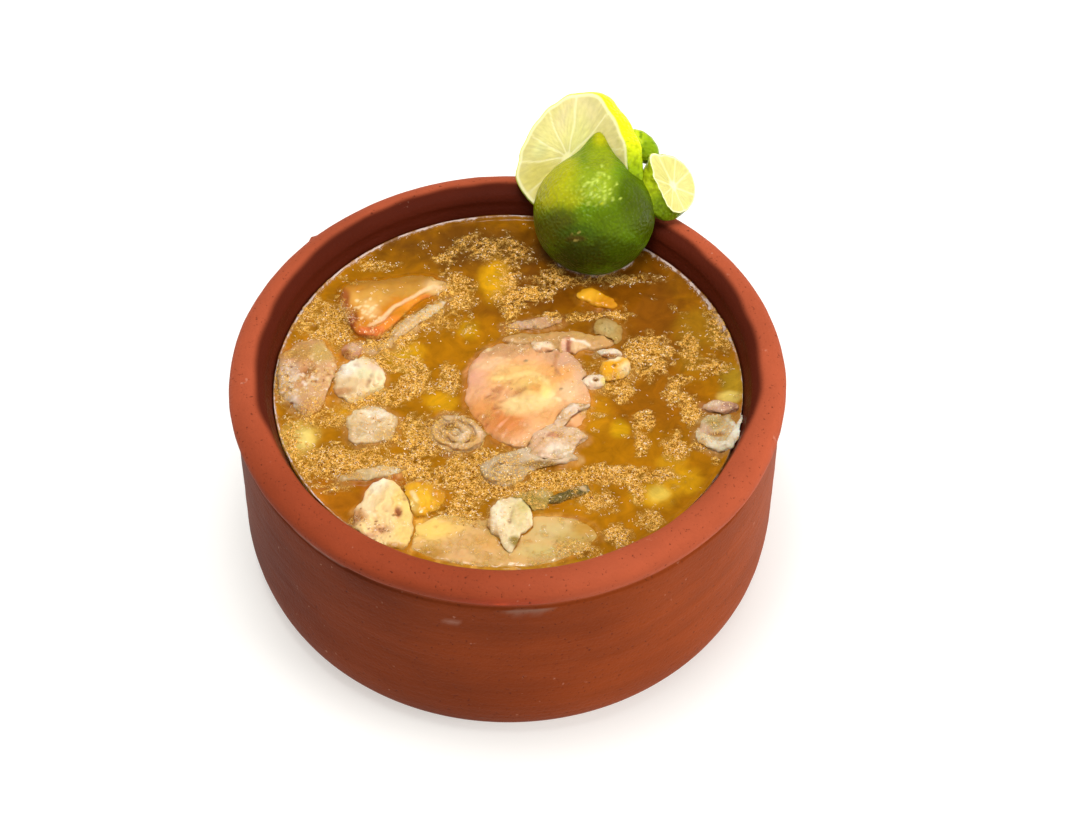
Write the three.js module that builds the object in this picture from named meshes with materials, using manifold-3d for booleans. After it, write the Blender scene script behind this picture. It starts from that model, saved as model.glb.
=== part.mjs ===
// A clay bowl of trotter soup with a lime garnish, in millimetres.
// The origin is the centre of the flat underside, +Z is up and -Y is the front.
// The bowl is a turned pot with a rolled rim. The soup fills it to just under
// the rim, and each piece of trotter stands a few millimetres out of the soup.
import * as THREE from "three";
import { mergeVertices } from "three/addons/utils/BufferGeometryUtils.js";
import Module from "manifold-3d";

const wasm = await Module();
wasm.setup();

// ---- Driving dimensions --------------------------------------------------

const RIM_RADIUS = 90; // outside of the rolled rim
const RIM_TOP = 78.6; // height of the bowl
const RIM_HALF_WIDTH = 5.9; // half of the rim's width
const RIM_CROWN = 3.9; // rim's top above its widest height
const WALL_RADIUS = 88.4; // outside of the wall, under the rim
const CREASE_HEIGHT = 69.5; // where the rim rolls into the wall
const FOOT_RADIUS = 82; // edge of the flat underside
const FOOT_CURVE = 19.5; // height at which the foot's curve ends
const INNER_TOP_RADIUS = 76.4; // inside of the wall at the soup's surface
const INNER_FOOT_RADIUS = 74.5; // inside of the wall above the floor
const FLOOR = 12; // thickness of the floor
const FLOOR_FILLET = 14; // curve between floor and wall
const TURNS = 60; // flats round the bowl

const SOUP_LEVEL = 70.1;
const AFLOAT = SOUP_LEVEL + 0.2; // where the floating pieces are widest
const MENISCUS = 1.1; // how far the soup climbs the wall
const GAP = 0.3; // clearance between neighbouring pieces

const LIME_CENTRE = [29.4, 64.6, 83.3];
const LIME_RADIUS = 20.6;
const LIME_LEAN = 39.8; // degrees that the garnish leans back
const LIME_TIP = 7.5; // height of the pointed end above the round
const LIME_TIP_REACH = 3.6; // half-width of the pointed end
const LIME_CUT = -3; // flat back of the lime, behind its centre
const WHEEL_RADIUS = 21.6;
const WHEEL_THICKNESS = 6.5;

const WELD = 1e-3;
const degrees = THREE.MathUtils.degToRad;

// ---- Solids --------------------------------------------------------------

// A closed geometry with each corner held once.
function welded(geometry) {
  const bare = geometry.clone();
  for (const name of Object.keys(bare.attributes)) {
    if (name !== "position") bare.deleteAttribute(name);
  }
  return mergeVertices(bare, WELD);
}

function solidOf(geometry) {
  const { attributes, index } = welded(geometry);
  return new wasm.Manifold(
    new wasm.Mesh({
      numProp: 3,
      vertProperties: attributes.position.array,
      triVerts: new Uint32Array(index.array),
    }),
  );
}

function geometryOf(solid) {
  const { vertProperties, triVerts } = solid.getMesh();
  const geometry = new THREE.BufferGeometry();
  geometry.setAttribute("position", new THREE.BufferAttribute(vertProperties, 3));
  geometry.setIndex(new THREE.BufferAttribute(triVerts, 1));
  return geometry;
}

// The largest body of a solid, without the scraps that a cut leaves.
function largest(solid) {
  return solid.decompose().sort((a, b) => b.volume() - a.volume())[0];
}

// Moves each corner of a welded geometry by what `shift` adds to it.
function reshape(geometry, shift) {
  const shaped = welded(geometry);
  const places = shaped.attributes.position;
  const corner = new THREE.Vector3();
  for (let i = 0; i < places.count; i += 1) {
    shift(corner.fromBufferAttribute(places, i));
    places.setXYZ(i, corner.x, corner.y, corner.z);
  }
  return shaped;
}

// A solid made larger all round, for the clearance that a neighbour leaves.
function grown(solid, by = GAP) {
  const geometry = welded(geometryOf(solid));
  geometry.computeVertexNormals();
  const places = geometry.attributes.position;
  const normals = geometry.attributes.normal;
  for (let i = 0; i < places.count; i += 1) {
    places.setXYZ(
      i,
      places.getX(i) + by * normals.getX(i),
      places.getY(i) + by * normals.getY(i),
      places.getZ(i) + by * normals.getZ(i),
    );
  }
  return solidOf(geometry);
}

// ---- Numbers -------------------------------------------------------------

// Repeatable random numbers from 0 to 1.
function draws(seed) {
  let state = seed;
  return () => {
    state = (state + 0x6d2b79f5) | 0;
    let mixed = Math.imul(state ^ (state >>> 15), 1 | state);
    mixed = (mixed + Math.imul(mixed ^ (mixed >>> 7), 61 | mixed)) ^ mixed;
    return ((mixed ^ (mixed >>> 14)) >>> 0) / 4294967296;
  };
}

// Smooth unevenness of about -1 to 1: a few waves that run in seeded directions.
function waves(seed, wavelength) {
  const draw = draws(seed);
  const runs = Array.from({ length: 6 }, () => {
    const direction = new THREE.Vector3(draw() - 0.5, draw() - 0.5, draw() - 0.5);
    direction.setLength((2 * Math.PI) / (wavelength * (0.7 + 0.6 * draw())));
    return { direction, phase: 2 * Math.PI * draw() };
  });
  return (point) =>
    runs.reduce((sum, run) => sum + Math.sin(run.direction.dot(point) + run.phase), 0) / 3;
}

// A value round a circle, eased between evenly spaced ones.
function around(values, angle) {
  const place = ((angle / (2 * Math.PI)) * values.length + values.length) % values.length;
  const start = Math.floor(place) % values.length;
  const ease = (1 - Math.cos(Math.PI * (place - Math.floor(place)))) / 2;
  return values[start] * (1 - ease) + values[(start + 1) % values.length] * ease;
}

// Points on an arc of an ellipse, angles in degrees.
function arc([x, y], [across, up], from, to, steps) {
  return Array.from({ length: steps + 1 }, (_, i) => {
    const angle = degrees(from + ((to - from) * i) / steps);
    return new THREE.Vector2(x + across * Math.cos(angle), y + up * Math.sin(angle));
  });
}

// ---- Shapes --------------------------------------------------------------

function turned(profile, turns = TURNS) {
  return new THREE.LatheGeometry(profile, turns).rotateX(Math.PI / 2);
}

// A dome on tapered sides: 1 in radius at z = 0, 1 high, and flat underneath at z = -1.
function domed(sides, rings) {
  const crown = arc([0, 0], [1, 1], 0, 90, rings);
  crown[rings].x = 0;
  return turned([new THREE.Vector2(0, -1), new THREE.Vector2(0.85, -1), ...crown], sides);
}

// A soft piece. `outline` is its reach round its middle, a smaller `edge` makes its
// top flatter, and `drop` is how deep its underside lies.
function morsel({
  half,
  drop = 2,
  outline = [1],
  edge = 0.75,
  rough = 0.06,
  seed = 1,
  sides = 12,
  rings = 3,
}) {
  const uneven = waves(seed, 1.4);
  return reshape(domed(sides, rings), (p) => {
    const swell = 1 + rough * uneven(p);
    const angle = Math.atan2(p.y, p.x);
    const reach = Math.hypot(p.x, p.y) ** edge * around(outline, angle) * swell;
    const height = swell * half[2] * Math.max(p.z, 0) ** edge;
    p.set(
      half[0] * reach * Math.cos(angle),
      half[1] * reach * Math.sin(angle),
      p.z < -0.5 ? -drop : height,
    );
  });
}

// A flat piece with a rounded edge, its outline a smooth loop through `points`.
function plate({ points, height, drop = 2.4, edge = 0.4, sides = 20, rings = 3 }) {
  const loop = new THREE.CatmullRomCurve3(
    points.map(([x, y]) => new THREE.Vector3(x, y, 0)),
    true,
    "centripetal",
  );
  const outline = loop.getSpacedPoints(sides);
  return reshape(domed(sides, rings), (p) => {
    const share = Math.atan2(p.x, -p.y) / (2 * Math.PI);
    const { x, y } = outline[Math.round(share * sides + sides) % sides];
    const reach = Math.hypot(p.x, p.y) ** edge;
    p.set(x * reach, y * reach, p.z < -0.5 ? -drop : height * Math.max(p.z, 0) ** edge);
  });
}

// A cord-like piece along a smooth curve, thinner towards its ends.
function strand({ points, radius, flat = 1, sides = 6, steps = 8 }) {
  const path = new THREE.CatmullRomCurve3(points.map((p) => new THREE.Vector3(...p)));
  const section = new THREE.Shape(arc([0, 0], [radius, radius], 0, 360 - 360 / sides, sides - 1));
  const tube = new THREE.ExtrudeGeometry(section, { steps, extrudePath: path, bevelEnabled: false });
  const spine = path.getSpacedPoints(4 * steps);
  return reshape(tube, (p) => {
    const nearest = spine.reduce(
      (best, q, i) => (q.distanceTo(p) < spine[best].distanceTo(p) ? i : best),
      0,
    );
    const taper = Math.max(0.35, Math.sin((Math.PI * nearest) / (4 * steps)) ** 0.35);
    const middle = spine[nearest];
    p.sub(middle).multiplyScalar(taper);
    p.z *= flat;
    p.add(middle);
  });
}

// ---- Placing -------------------------------------------------------------

function placement(at, turn = 0, tilt = [0, 0]) {
  const spin = new THREE.Euler(degrees(tilt[0]), degrees(tilt[1]), degrees(turn), "ZYX");
  return new THREE.Matrix4().compose(
    new THREE.Vector3(...at),
    new THREE.Quaternion().setFromEuler(spin),
    new THREE.Vector3(1, 1, 1),
  );
}

function placed(geometries, place) {
  return geometries
    .map((geometry) => solidOf(geometry.clone().applyMatrix4(place)))
    .reduce((whole, next) => whole.add(next));
}

// ---- The bowl ------------------------------------------------------------

function innerWall(gap) {
  const fillet = FLOOR_FILLET - gap;
  const floor = FLOOR + gap;
  return [
    new THREE.Vector2(INNER_TOP_RADIUS - gap, SOUP_LEVEL - 3),
    ...arc(
      [INNER_FOOT_RADIUS - gap - fillet, floor + fillet],
      [fillet, fillet],
      0,
      -90,
      3,
    ),
    new THREE.Vector2(0, floor),
  ];
}

function bowlShape() {
  const rimCentre = RIM_RADIUS - RIM_HALF_WIDTH;
  const rimWaist = RIM_TOP - RIM_CROWN;
  return turned([
    new THREE.Vector2(0, 0),
    ...arc([FOOT_RADIUS, FOOT_CURVE], [WALL_RADIUS - FOOT_RADIUS, FOOT_CURVE], -90, 0, 4),
    new THREE.Vector2(WALL_RADIUS, CREASE_HEIGHT - 1.2),
    new THREE.Vector2(WALL_RADIUS - 0.5, CREASE_HEIGHT - 0.4),
    ...arc([rimCentre, rimWaist], [RIM_HALF_WIDTH, rimWaist - CREASE_HEIGHT], -45, 0, 2),
    ...arc([rimCentre, rimWaist], [RIM_HALF_WIDTH, RIM_CROWN], 24, 180, 7),
    new THREE.Vector2(INNER_TOP_RADIUS, SOUP_LEVEL),
    ...innerWall(0),
  ]);
}

// ---- The soup ------------------------------------------------------------

// The soup's surface is level, and climbs a little at the wall.
function soupShape() {
  const wall = INNER_TOP_RADIUS - GAP;
  return turned(
    [
      ...innerWall(GAP).reverse(),
      new THREE.Vector2(wall, SOUP_LEVEL + MENISCUS),
      new THREE.Vector2(wall - MENISCUS, SOUP_LEVEL + MENISCUS / 3),
      new THREE.Vector2(wall - 3 * MENISCUS, SOUP_LEVEL),
      new THREE.Vector2(0, SOUP_LEVEL),
    ],
    48,
  );
}

// ---- Pieces of trotter ---------------------------------------------------
// The colour is the piece's own. `at` is its middle: x, y and its rise over the
// soup. `turn` is about Z and `tilt` about X and Y, in degrees. Where two pieces
// touch, the one on top comes first and the next is cut round it.

const foods = [
  {
    name: "gristle_right",
    colour: "#f2e0cc",
    at: [28, 1, 0],
    turn: 10,
    shapes: [morsel({ half: [4.3, 3.4, 2.5], outline: [1, 0.8, 1, 0.9], seed: 4, sides: 10 })],
  },
  {
    name: "gristle_strip",
    colour: "#f3dfbc",
    at: [33.3, 12.9, 0],
    turn: -6,
    shapes: [morsel({ half: [4.4, 2.1, 1.9], seed: 5, sides: 10 })],
  },
  {
    name: "skin_flap",
    colour: "#dcb488",
    at: [16.2, 18.2, 0],
    turn: -3,
    shapes: [
      morsel({
        half: [19.8, 4.6, 2],
        outline: [1, 1.1, 0.85, 0.9, 1, 0.8, 1.1, 0.9],
        seed: 7,
        sides: 16,
      }),
      morsel({ half: [4, 3.3, 2.6], drop: 1, outline: [1, 0.85, 1.05, 0.8], seed: 3, sides: 8 })
        .translate(-4.2, -3.8, 0.6),
      strand({
        points: [[1.4, -6.2, 1], [1.1, -2.6, 1.8], [3.5, 0.2, 2], [6, -2.2, 1.8], [5.7, -5.4, 1]],
        radius: 1.2,
      }),
    ],
  },
  {
    name: "frayed_tissue",
    colour: "#f0c8a4",
    at: [14.7, -24.6, 0],
    turn: 12,
    shapes: [
      morsel({
        half: [9.2, 8, 2.4],
        outline: [1.05, 0.8, 1, 0.85, 1.05, 0.9, 0.75],
        rough: 0.14,
        seed: 8,
        sides: 16,
      }),
      strand({
        points: [[1, 4, 0.6], [4.6, 8.4, 1.2], [9, 11.4, 1.5], [14.4, 12.6, 0.8]],
        radius: 1.9,
        steps: 6,
      }),
    ],
  },
  {
    name: "knuckle",
    colour: "#f5b070",
    at: [6.4, -3.2, 0],
    shapes: [
      morsel({
        half: [20.4, 23.4, 3.2],
        drop: 10,
        outline: [1, 0.98, 0.96, 1.02, 1, 0.98, 1.02, 0.97],
        edge: 0.85,
        rough: 0.025,
        seed: 9,
        sides: 26,
        rings: 6,
      }),
    ],
  },
  {
    name: "fat_right",
    colour: "#f0b82c",
    at: [35.4, 6.2, 0],
    turn: 25,
    shapes: [morsel({ half: [5.7, 5.2, 2.3], outline: [1, 0.9, 1.1, 0.85], edge: 0.55, seed: 10 })],
  },
  {
    name: "cartilage_back",
    colour: "#c8ba7c",
    at: [33.2, 22.6, 0],
    shapes: [morsel({ half: [4.8, 6.3, 1.4], outline: [1, 0.9, 1.05, 0.9, 1], edge: 0.6, seed: 12 })],
  },
  {
    name: "ridged_strip",
    colour: "#c9a078",
    at: [8.6, 26.6, 0],
    turn: 3,
    shapes: [
      strand({
        points: [[-9.4, -0.7, -0.6], [-4, -0.9, 0], [2, -0.1, 0.2], [9.4, 1.2, 0]],
        radius: 2,
        flat: 0.8,
      }),
    ],
  },
  {
    name: "folded_skin",
    colour: "#e09030",
    at: [-37.3, 34.8, 0],
    tilt: [-3, 0],
    shapes: [
      plate({
        points: [
          [19, 8.5],
          [11.5, 14.2],
          [-3.6, 12.8],
          [-16.9, 10.3],
          [-19, 3.1],
          [-12, -12.5],
          [-8, -15],
          [-3.8, -13],
          [7.6, 2.3],
        ],
        height: 1.7,
        sides: 24,
      }),
      strand({
        points: [
          [-17.6, 4.4, 0],
          [-14.6, -4.9, 0.3],
          [-10.4, -12.2, 0.4],
          [-5.4, -12.2, 0.4],
          [0, -5, 0.4],
          [6.8, 3, 0.3],
          [16.2, 7, 0],
        ],
        radius: 2.3,
        steps: 12,
      }),
    ],
  },
  {
    name: "skin_fat_edge",
    colour: "#f2d8a8",
    at: [-29.6, 27.6, 0],
    shapes: [
      strand({
        points: [[-11.4, -11.4, -0.8], [-6.2, -4.2, -0.3], [0.8, 2.6, -0.2], [11, 10.6, -0.6]],
        radius: 2.4,
        flat: 0.85,
      }),
    ],
  },
  {
    name: "pink_bit",
    colour: "#d8a088",
    at: [-51.4, 14.9, 0],
    shapes: [morsel({ half: [3.7, 3.9, 1.7], outline: [1, 0.8, 1.1, 0.8, 1], seed: 13, sides: 10 })],
  },
  {
    name: "cartilage_left",
    colour: "#ece4c8",
    at: [-49, 3.1, 0],
    turn: -12,
    tilt: [0, -2],
    shapes: [
      morsel({
        half: [9.4, 9.8, 2.2],
        drop: 2.6,
        outline: [1, 0.95, 1.08, 0.95, 0.9, 1, 1.08, 0.85],
        edge: 0.55,
        seed: 14,
        sides: 14,
      }),
    ],
  },
  {
    name: "cartilage_front",
    colour: "#e6d2b4",
    at: [-44, -16.2, 0],
    turn: 20,
    shapes: [
      morsel({
        half: [9, 9.4, 1.7],
        drop: 2.6,
        outline: [1, 0.85, 1, 0.9, 1.1, 0.8, 1],
        edge: 0.6,
        rough: 0.09,
        seed: 15,
        sides: 14,
      }),
    ],
  },
  {
    name: "tendon_left",
    colour: "#e0b48c",
    at: [-66, 5.2, 0],
    turn: 6,
    shapes: [
      morsel({
        half: [9.6, 15.8, 2],
        drop: 2.8,
        outline: [1, 1.05, 0.95, 1, 0.9, 1, 1.05, 0.9],
        edge: 0.65,
        rough: 0.09,
        seed: 16,
        sides: 18,
        rings: 4,
      }),
    ],
  },
  {
    name: "bone_corner",
    colour: "#f0dcb0",
    at: [-38.5, -53.5, 0.2],
    tilt: [2, 2],
    shapes: [
      plate({
        points: [[8, 0.6], [3.6, 12.6], [-1.6, 14.6], [-10.6, -2], [-6, -9.4], [6, -13]],
        height: 2.4,
        drop: 3,
      }),
      strand({ points: [[1.4, 12, 1], [-0.6, 5, 1.6], [-5.4, -2, 1.2]], radius: 1.8, steps: 5 }),
    ],
  },
  {
    name: "fat_left",
    colour: "#f4c038",
    at: [-27.6, -46.4, 0],
    turn: 10,
    shapes: [morsel({ half: [7.6, 7.8, 2.2], outline: [1, 0.95, 1.05, 0.9, 1], edge: 0.65, seed: 17 })],
  },
  {
    name: "gristle_stub",
    colour: "#f0e2c0",
    at: [0.1, -57.4, 0.6],
    shapes: [
      morsel({
        half: [8.2, 11.6, 1.6],
        drop: 1.6,
        outline: [0.85, 1, 0.95, 1.05, 0.85, 0.6, 0.95, 0.55],
        rough: 0.09,
        seed: 18,
        sides: 16,
      }),
    ],
  },
  {
    name: "cartilage_slab",
    colour: "#e4cc8c",
    at: [-2.7, -62, 0],
    shapes: [
      plate({
        points: [
          [31, 0],
          [26, 6.8],
          [10, 8.4],
          [-6, 7],
          [-19, 10.4],
          [-27, 7],
          [-30.7, -2.6],
          [-20, -9],
          [-5, -11.8],
          [9, -11.8],
          [24, -7.4],
        ],
        height: 0.7,
        drop: 3.6,
        sides: 26,
        rings: 2,
      }),
    ],
  },
  {
    name: "dark_strand",
    colour: "#4c4a20",
    at: [18.6, -45.6, 0],
    turn: 24,
    shapes: [morsel({ half: [7.2, 2, 1.5], drop: 1.6, seed: 19, sides: 10 })],
  },
  {
    name: "green_tendon",
    colour: "#b49a40",
    at: [5.6, -48.4, 0],
    turn: 24,
    shapes: [
      morsel({ half: [9.6, 4.4, 1.7], outline: [1, 0.9, 1.1, 0.9, 1, 1.1], rough: 0.08, seed: 20 }),
    ],
  },
  {
    name: "ring_curl",
    colour: "#dcb080",
    at: [-16.8, -20.4, 0],
    turn: -28,
    shapes: [
      morsel({ half: [10, 7.8, 1.1], seed: 21, sides: 14, rings: 2 }),
      ...[1, 0.5].map((size) =>
        strand({
          points: arc([0, 0], [7.8 * size, 5.8 * size], 200, 500, 8).map(({ x, y }) => [x, y, 1]),
          radius: 1.3,
          steps: 6 + 4 * size,
          sides: 5,
        }),
      ),
    ],
  },
  {
    name: "shell_tendon",
    colour: "#c8b294",
    at: [6.6, -33.6, 0],
    tilt: [3, 0],
    shapes: [
      plate({
        points: [
          [15.6, 3],
          [14.8, 5.4],
          [3.4, 7],
          [-9, 4.4],
          [-14.6, 1],
          [-15.8, -4.8],
          [-10, -8.6],
          [-5, -7.6],
          [0, -3],
          [9, 0.4],
        ],
        height: 1.5,
        sides: 22,
        rings: 2,
      }),
      strand({
        points: arc([-9.5, -2.4], [4.6, 4], 60, 300, 6).map(({ x, y }) => [x, y, 1.4]),
        radius: 1.2,
        sides: 5,
      }),
    ],
  },
  {
    name: "pink_stick",
    colour: "#d8a488",
    at: [68.6, -10.8, 0.2],
    turn: -6,
    tilt: [0, -3],
    shapes: [morsel({ half: [6.4, 2, 2.2], drop: 1.6, edge: 0.55, seed: 22, sides: 10 })],
  },
  {
    name: "right_crescent",
    colour: "#d8c8a4",
    at: [67.6, -19.4, 0],
    shapes: [
      strand({
        points: [
          [-7.4, 0.6, 0],
          [-4.6, -5.4, 0.4],
          [0.2, -8, 0.6],
          [4.6, -5.6, 0.8],
          [6.9, 0.4, 0.8],
          [7.4, 5.4, 0.2],
        ],
        radius: 2.2,
        steps: 10,
      }),
      morsel({ half: [7, 6.8, 1], seed: 23, rings: 2 }),
    ],
  },
  {
    name: "fat_back",
    colour: "#e8a81c",
    at: [29.6, 37, 0],
    turn: -24,
    shapes: [morsel({ half: [7, 4, 1.8], outline: [1, 0.75, 1.05, 1, 0.7, 0.9], edge: 0.55, seed: 24 })],
  },
  {
    name: "pale_strip",
    colour: "#dcc090",
    at: [-43.6, -36.4, 0],
    turn: 10,
    shapes: [morsel({ half: [10.4, 2.1, 1.2], drop: 1.6, seed: 25 })],
  },
];

// ---- The lime garnish ----------------------------------------------------
// Its own frame leans back: X to the right, Y up along the lime, Z to the front.

const garnish = placement(LIME_CENTRE, 0, [LIME_LEAN, 0]);

// A round lime with a narrow pointed end at the top.
function limeShape() {
  const round = arc([0, 0], [LIME_RADIUS, LIME_RADIUS], -90, 72, 12);
  const end = [4.6, 3.1, 1.6].map(
    (reach) => new THREE.Vector2(reach, Math.sqrt(LIME_RADIUS ** 2 - reach ** 2)),
  );
  const profile = [...round, ...end, new THREE.Vector2(0, LIME_RADIUS)];
  profile[0].x = 0;
  for (const place of profile.slice(round.length - 1)) {
    place.y += LIME_TIP * Math.exp(-((place.x / LIME_TIP_REACH) ** 2));
  }
  return new THREE.LatheGeometry(profile, 24);
}

// A block that fills everything behind the lime's flat back.
function behindLime() {
  const size = 4 * LIME_RADIUS;
  return new THREE.BoxGeometry(size, size, size).translate(0, 0, LIME_CUT - size / 2);
}

// A round slice cut across a lime, its front face at z = 0.
function sliceShape(radius, thickness, turns, crown = 0) {
  const rind = thickness * 0.12;
  const front = [0.3, 0.62, 0.9].map((share) => new THREE.Vector2(radius * share, 0));
  const back = front.map(({ x }) => new THREE.Vector2(x, -thickness - crown * (1 - (x / radius) ** 2)));
  return new THREE.LatheGeometry(
    [
      new THREE.Vector2(0, -thickness - crown),
      ...back,
      new THREE.Vector2(radius, rind - thickness),
      new THREE.Vector2(radius, -rind),
      ...front.reverse(),
      new THREE.Vector2(0, 0),
    ],
    turns,
  ).rotateX(Math.PI / 2);
}

// A hand-cut wheel, wider on some sides, whose right half curls to the front.
function wheelShape() {
  const outline = [1.06, 0.94, 0.93, 1.04, 1, 0.86, 0.8, 0.8, 0.88, 1, 1, 1, 1, 1, 1.05, 1.15];
  const curl = 26; // radius of the bend
  return reshape(sliceShape(WHEEL_RADIUS, WHEEL_THICKNESS, 32), (p) => {
    const cut = around(outline, Math.atan2(p.y, p.x));
    p.x *= cut;
    p.y *= cut;
    if (p.x <= 0) return;
    const turn = p.x / curl;
    p.set((curl - p.z) * Math.sin(turn), p.y, curl - (curl - p.z) * Math.cos(turn));
  });
}

const within = (at, turn, tilt) => garnish.clone().multiply(placement(at, turn, tilt));

const limeSolid = placed([limeShape()], within([0, 0, 0], -4, [0, 0]))
  .subtract(placed([behindLime()], garnish));

const garnishes = [
  { name: "lime", colour: "#5c8c10", solid: limeSolid },
  {
    name: "lime_wheel",
    colour: "#eef08c",
    solid: placed([wheelShape()], within([-6.6, 20, LIME_CUT - 0.6], 0, [0, -13])),
  },
  {
    name: "lime_end_slice",
    colour: "#d8e060",
    solid: placed([sliceShape(11, 5, 22, 2.4)], within([26.5, 8.8, 2], 0, [-4, 44])),
  },
  {
    name: "lime_rind_piece",
    colour: "#a8c828",
    solid: placed(
      [morsel({ half: [7.2, 4.4, 3.4], drop: 2.4, edge: 0.8, rough: 0.03, seed: 31 })],
      within([16.6, 22.8, -5], -48, [0, 0]),
    ),
  },
];

// ---- Putting it together -------------------------------------------------

const root = new THREE.Group();
root.name = "trotter_soup_bowl";

// Adds a solid as a mesh whose own origin is the middle of its box.
function addNode(name, colour, solid, finish) {
  const geometry = geometryOf(solid);
  geometry.computeBoundingBox();
  const middle = geometry.boundingBox.getCenter(new THREE.Vector3());
  geometry.translate(-middle.x, -middle.y, -middle.z);
  const material = new THREE.MeshStandardMaterial({ color: colour, metalness: 0, ...finish });
  const mesh = new THREE.Mesh(geometry, material);
  mesh.name = name;
  mesh.position.copy(middle);
  root.add(mesh);
}

// Cuts a piece round its neighbours and keeps its largest body.
function fitted(solid, neighbours) {
  const free = neighbours.reduce((left, neighbour) => left.subtract(neighbour), solid);
  return largest(free);
}

const bowlSolid = solidOf(bowlShape());
addNode("bowl", "#b04a30", bowlSolid, { roughness: 0.6 });

const bowlClearance = grown(bowlSolid);
const clearances = [];
for (const { name, colour, solid } of garnishes) {
  addNode(name, colour, fitted(solid, [bowlClearance, ...clearances]), { roughness: 0.35 });
  clearances.push(grown(solid));
}
for (const { name, colour, at: [x, y, rise], turn, tilt, shapes } of foods) {
  const place = placement([x, y, AFLOAT + rise], turn, tilt);
  const whole = placed(shapes, place);
  addNode(name, colour, fitted(whole, [bowlClearance, ...clearances]), { roughness: 0.25 });
  clearances.push(grown(whole));
}
addNode("soup", "#b8770c", fitted(solidOf(soupShape()), clearances), { roughness: 0.1 });

export default root;
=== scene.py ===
"""A clay bowl of trotter soup with a lime and lime slices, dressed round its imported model.

Sizes and places are in millimetres and turned to metres when a piece is finished.
+Z is up, -Y is the front and the origin is the centre of the bowl's flat underside.
"""

import logging
import math
from collections.abc import Sequence
from dataclasses import dataclass
from enum import Enum
from typing import NamedTuple

import bmesh
import bpy
import numpy as np
from mathutils import Matrix, Vector, noise
from mathutils.bvhtree import BVHTree


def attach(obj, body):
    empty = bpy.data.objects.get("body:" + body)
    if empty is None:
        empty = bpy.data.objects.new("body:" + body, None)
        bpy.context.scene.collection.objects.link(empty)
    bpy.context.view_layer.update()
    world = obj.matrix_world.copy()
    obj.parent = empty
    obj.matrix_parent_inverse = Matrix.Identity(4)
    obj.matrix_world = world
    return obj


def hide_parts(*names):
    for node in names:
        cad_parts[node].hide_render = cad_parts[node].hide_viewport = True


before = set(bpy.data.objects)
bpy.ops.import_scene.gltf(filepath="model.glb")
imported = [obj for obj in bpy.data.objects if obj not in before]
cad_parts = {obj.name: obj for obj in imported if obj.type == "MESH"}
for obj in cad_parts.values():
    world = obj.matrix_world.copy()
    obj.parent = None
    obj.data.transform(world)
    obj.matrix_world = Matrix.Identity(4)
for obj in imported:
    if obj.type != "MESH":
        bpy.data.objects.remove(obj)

LOG = logging.getLogger("trotter_soup")
MM = 0.001
# Vertices closer than this, in mm, are one: in a turned shape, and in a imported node's mesh.
TURNED_WELD = 0.002
PACKED_WELD = 0.01
BODY = "root"
TINT = "tint"
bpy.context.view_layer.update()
# Colours are noted as they look under a light of this brightness: flesh, broth, cut lime, peel.
LIGHT = 1.2
BROTH_LIGHT = 1.35
PULP_LIGHT = 1.14
PEEL_LIGHT = 1.0

Places = np.ndarray
Profile = Sequence[tuple[float, float]]
Shape = bmesh.types.BMesh
Piece = bpy.types.Object
Material = bpy.types.Material
Tree = bpy.types.NodeTree
Socket = bpy.types.NodeSocket
# A node's inputs by their name or number: values, or other nodes' sockets.
Look = dict[str | int, object]


# ---- Numbers and colours --------------------------------------------------


def linear(colour: str) -> tuple[float, float, float]:
    """Turns an sRGB hex colour into linear light.

    Args:
        colour: The colour as "#rrggbb".

    Returns:
        Red, green and blue in linear light.
    """
    shares = [int(colour[i : i + 2], 16) / 255 for i in (1, 3, 5)]
    return tuple(s / 12.92 if s <= 0.04045 else ((s + 0.055) / 1.055) ** 2.4 for s in shares)


def rgba(colour: str) -> tuple[float, float, float, float]:
    """An sRGB hex colour in linear light, opaque."""
    return (*linear(colour), 1.0)


def per_mm(size: float) -> float:
    """The scale of a texture on Object coordinates whose pattern repeats every `size` mm."""
    return 1 / (size * MM)


def eased(low: float, high: float, values: np.ndarray) -> np.ndarray:
    """A smooth step from 0 at `low` to 1 at `high`, which may lie below `low`."""
    share = np.clip((values - low) / (high - low), 0, 1)
    return share * share * (3 - 2 * share)


def hum(places: Places, size: float, seed: float = 0.0, octaves: int = 1) -> np.ndarray:
    """Smooth noise of about -1 to 1 at each place.

    Args:
        places: Rows of x, y and z in mm.
        size: The width of one lump of the noise in mm.
        seed: Moves the noise, so that two pieces differ.
        octaves: How many finer layers it has.

    Returns:
        One value for each place.
    """
    shift = Vector((17.3 * seed, 5.1 * seed, 9.7 * seed))
    total = np.zeros(len(places))
    for layer in range(octaves):
        zoom = 2**layer / size
        total += np.array([noise.noise(Vector(p) * zoom + shift) for p in places]) / 2**layer
    return total


def arc(
    centre: tuple[float, float], reach: tuple[float, float], start: float, end: float, steps: int
) -> list[tuple[float, float]]:
    """Points along part of an ellipse.

    Args:
        centre: Its middle.
        reach: Its half-width and half-height.
        start: The first angle in degrees.
        end: The last angle in degrees.
        steps: How many stretches the arc has.

    Returns:
        The points in order.
    """
    angles = [math.radians(start + (end - start) * i / steps) for i in range(steps + 1)]
    return [(centre[0] + reach[0] * math.cos(a), centre[1] + reach[1] * math.sin(a)) for a in angles]


def around(values: Sequence[float], angles: np.ndarray) -> np.ndarray:
    """Values round a circle, eased between evenly spaced ones, at angles in radians.

    Args:
        values: Evenly spaced values round the circle.
        angles: Where values are wanted, in radians.

    Returns:
        A value for each angle.
    """
    count = len(values)
    place = (angles / (2 * math.pi) * count) % count
    start = np.floor(place).astype(int) % count
    ease = (1 - np.cos(math.pi * (place - np.floor(place)))) / 2
    ring = np.array(values)
    return ring[start] * (1 - ease) + ring[(start + 1) % count] * ease


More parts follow.
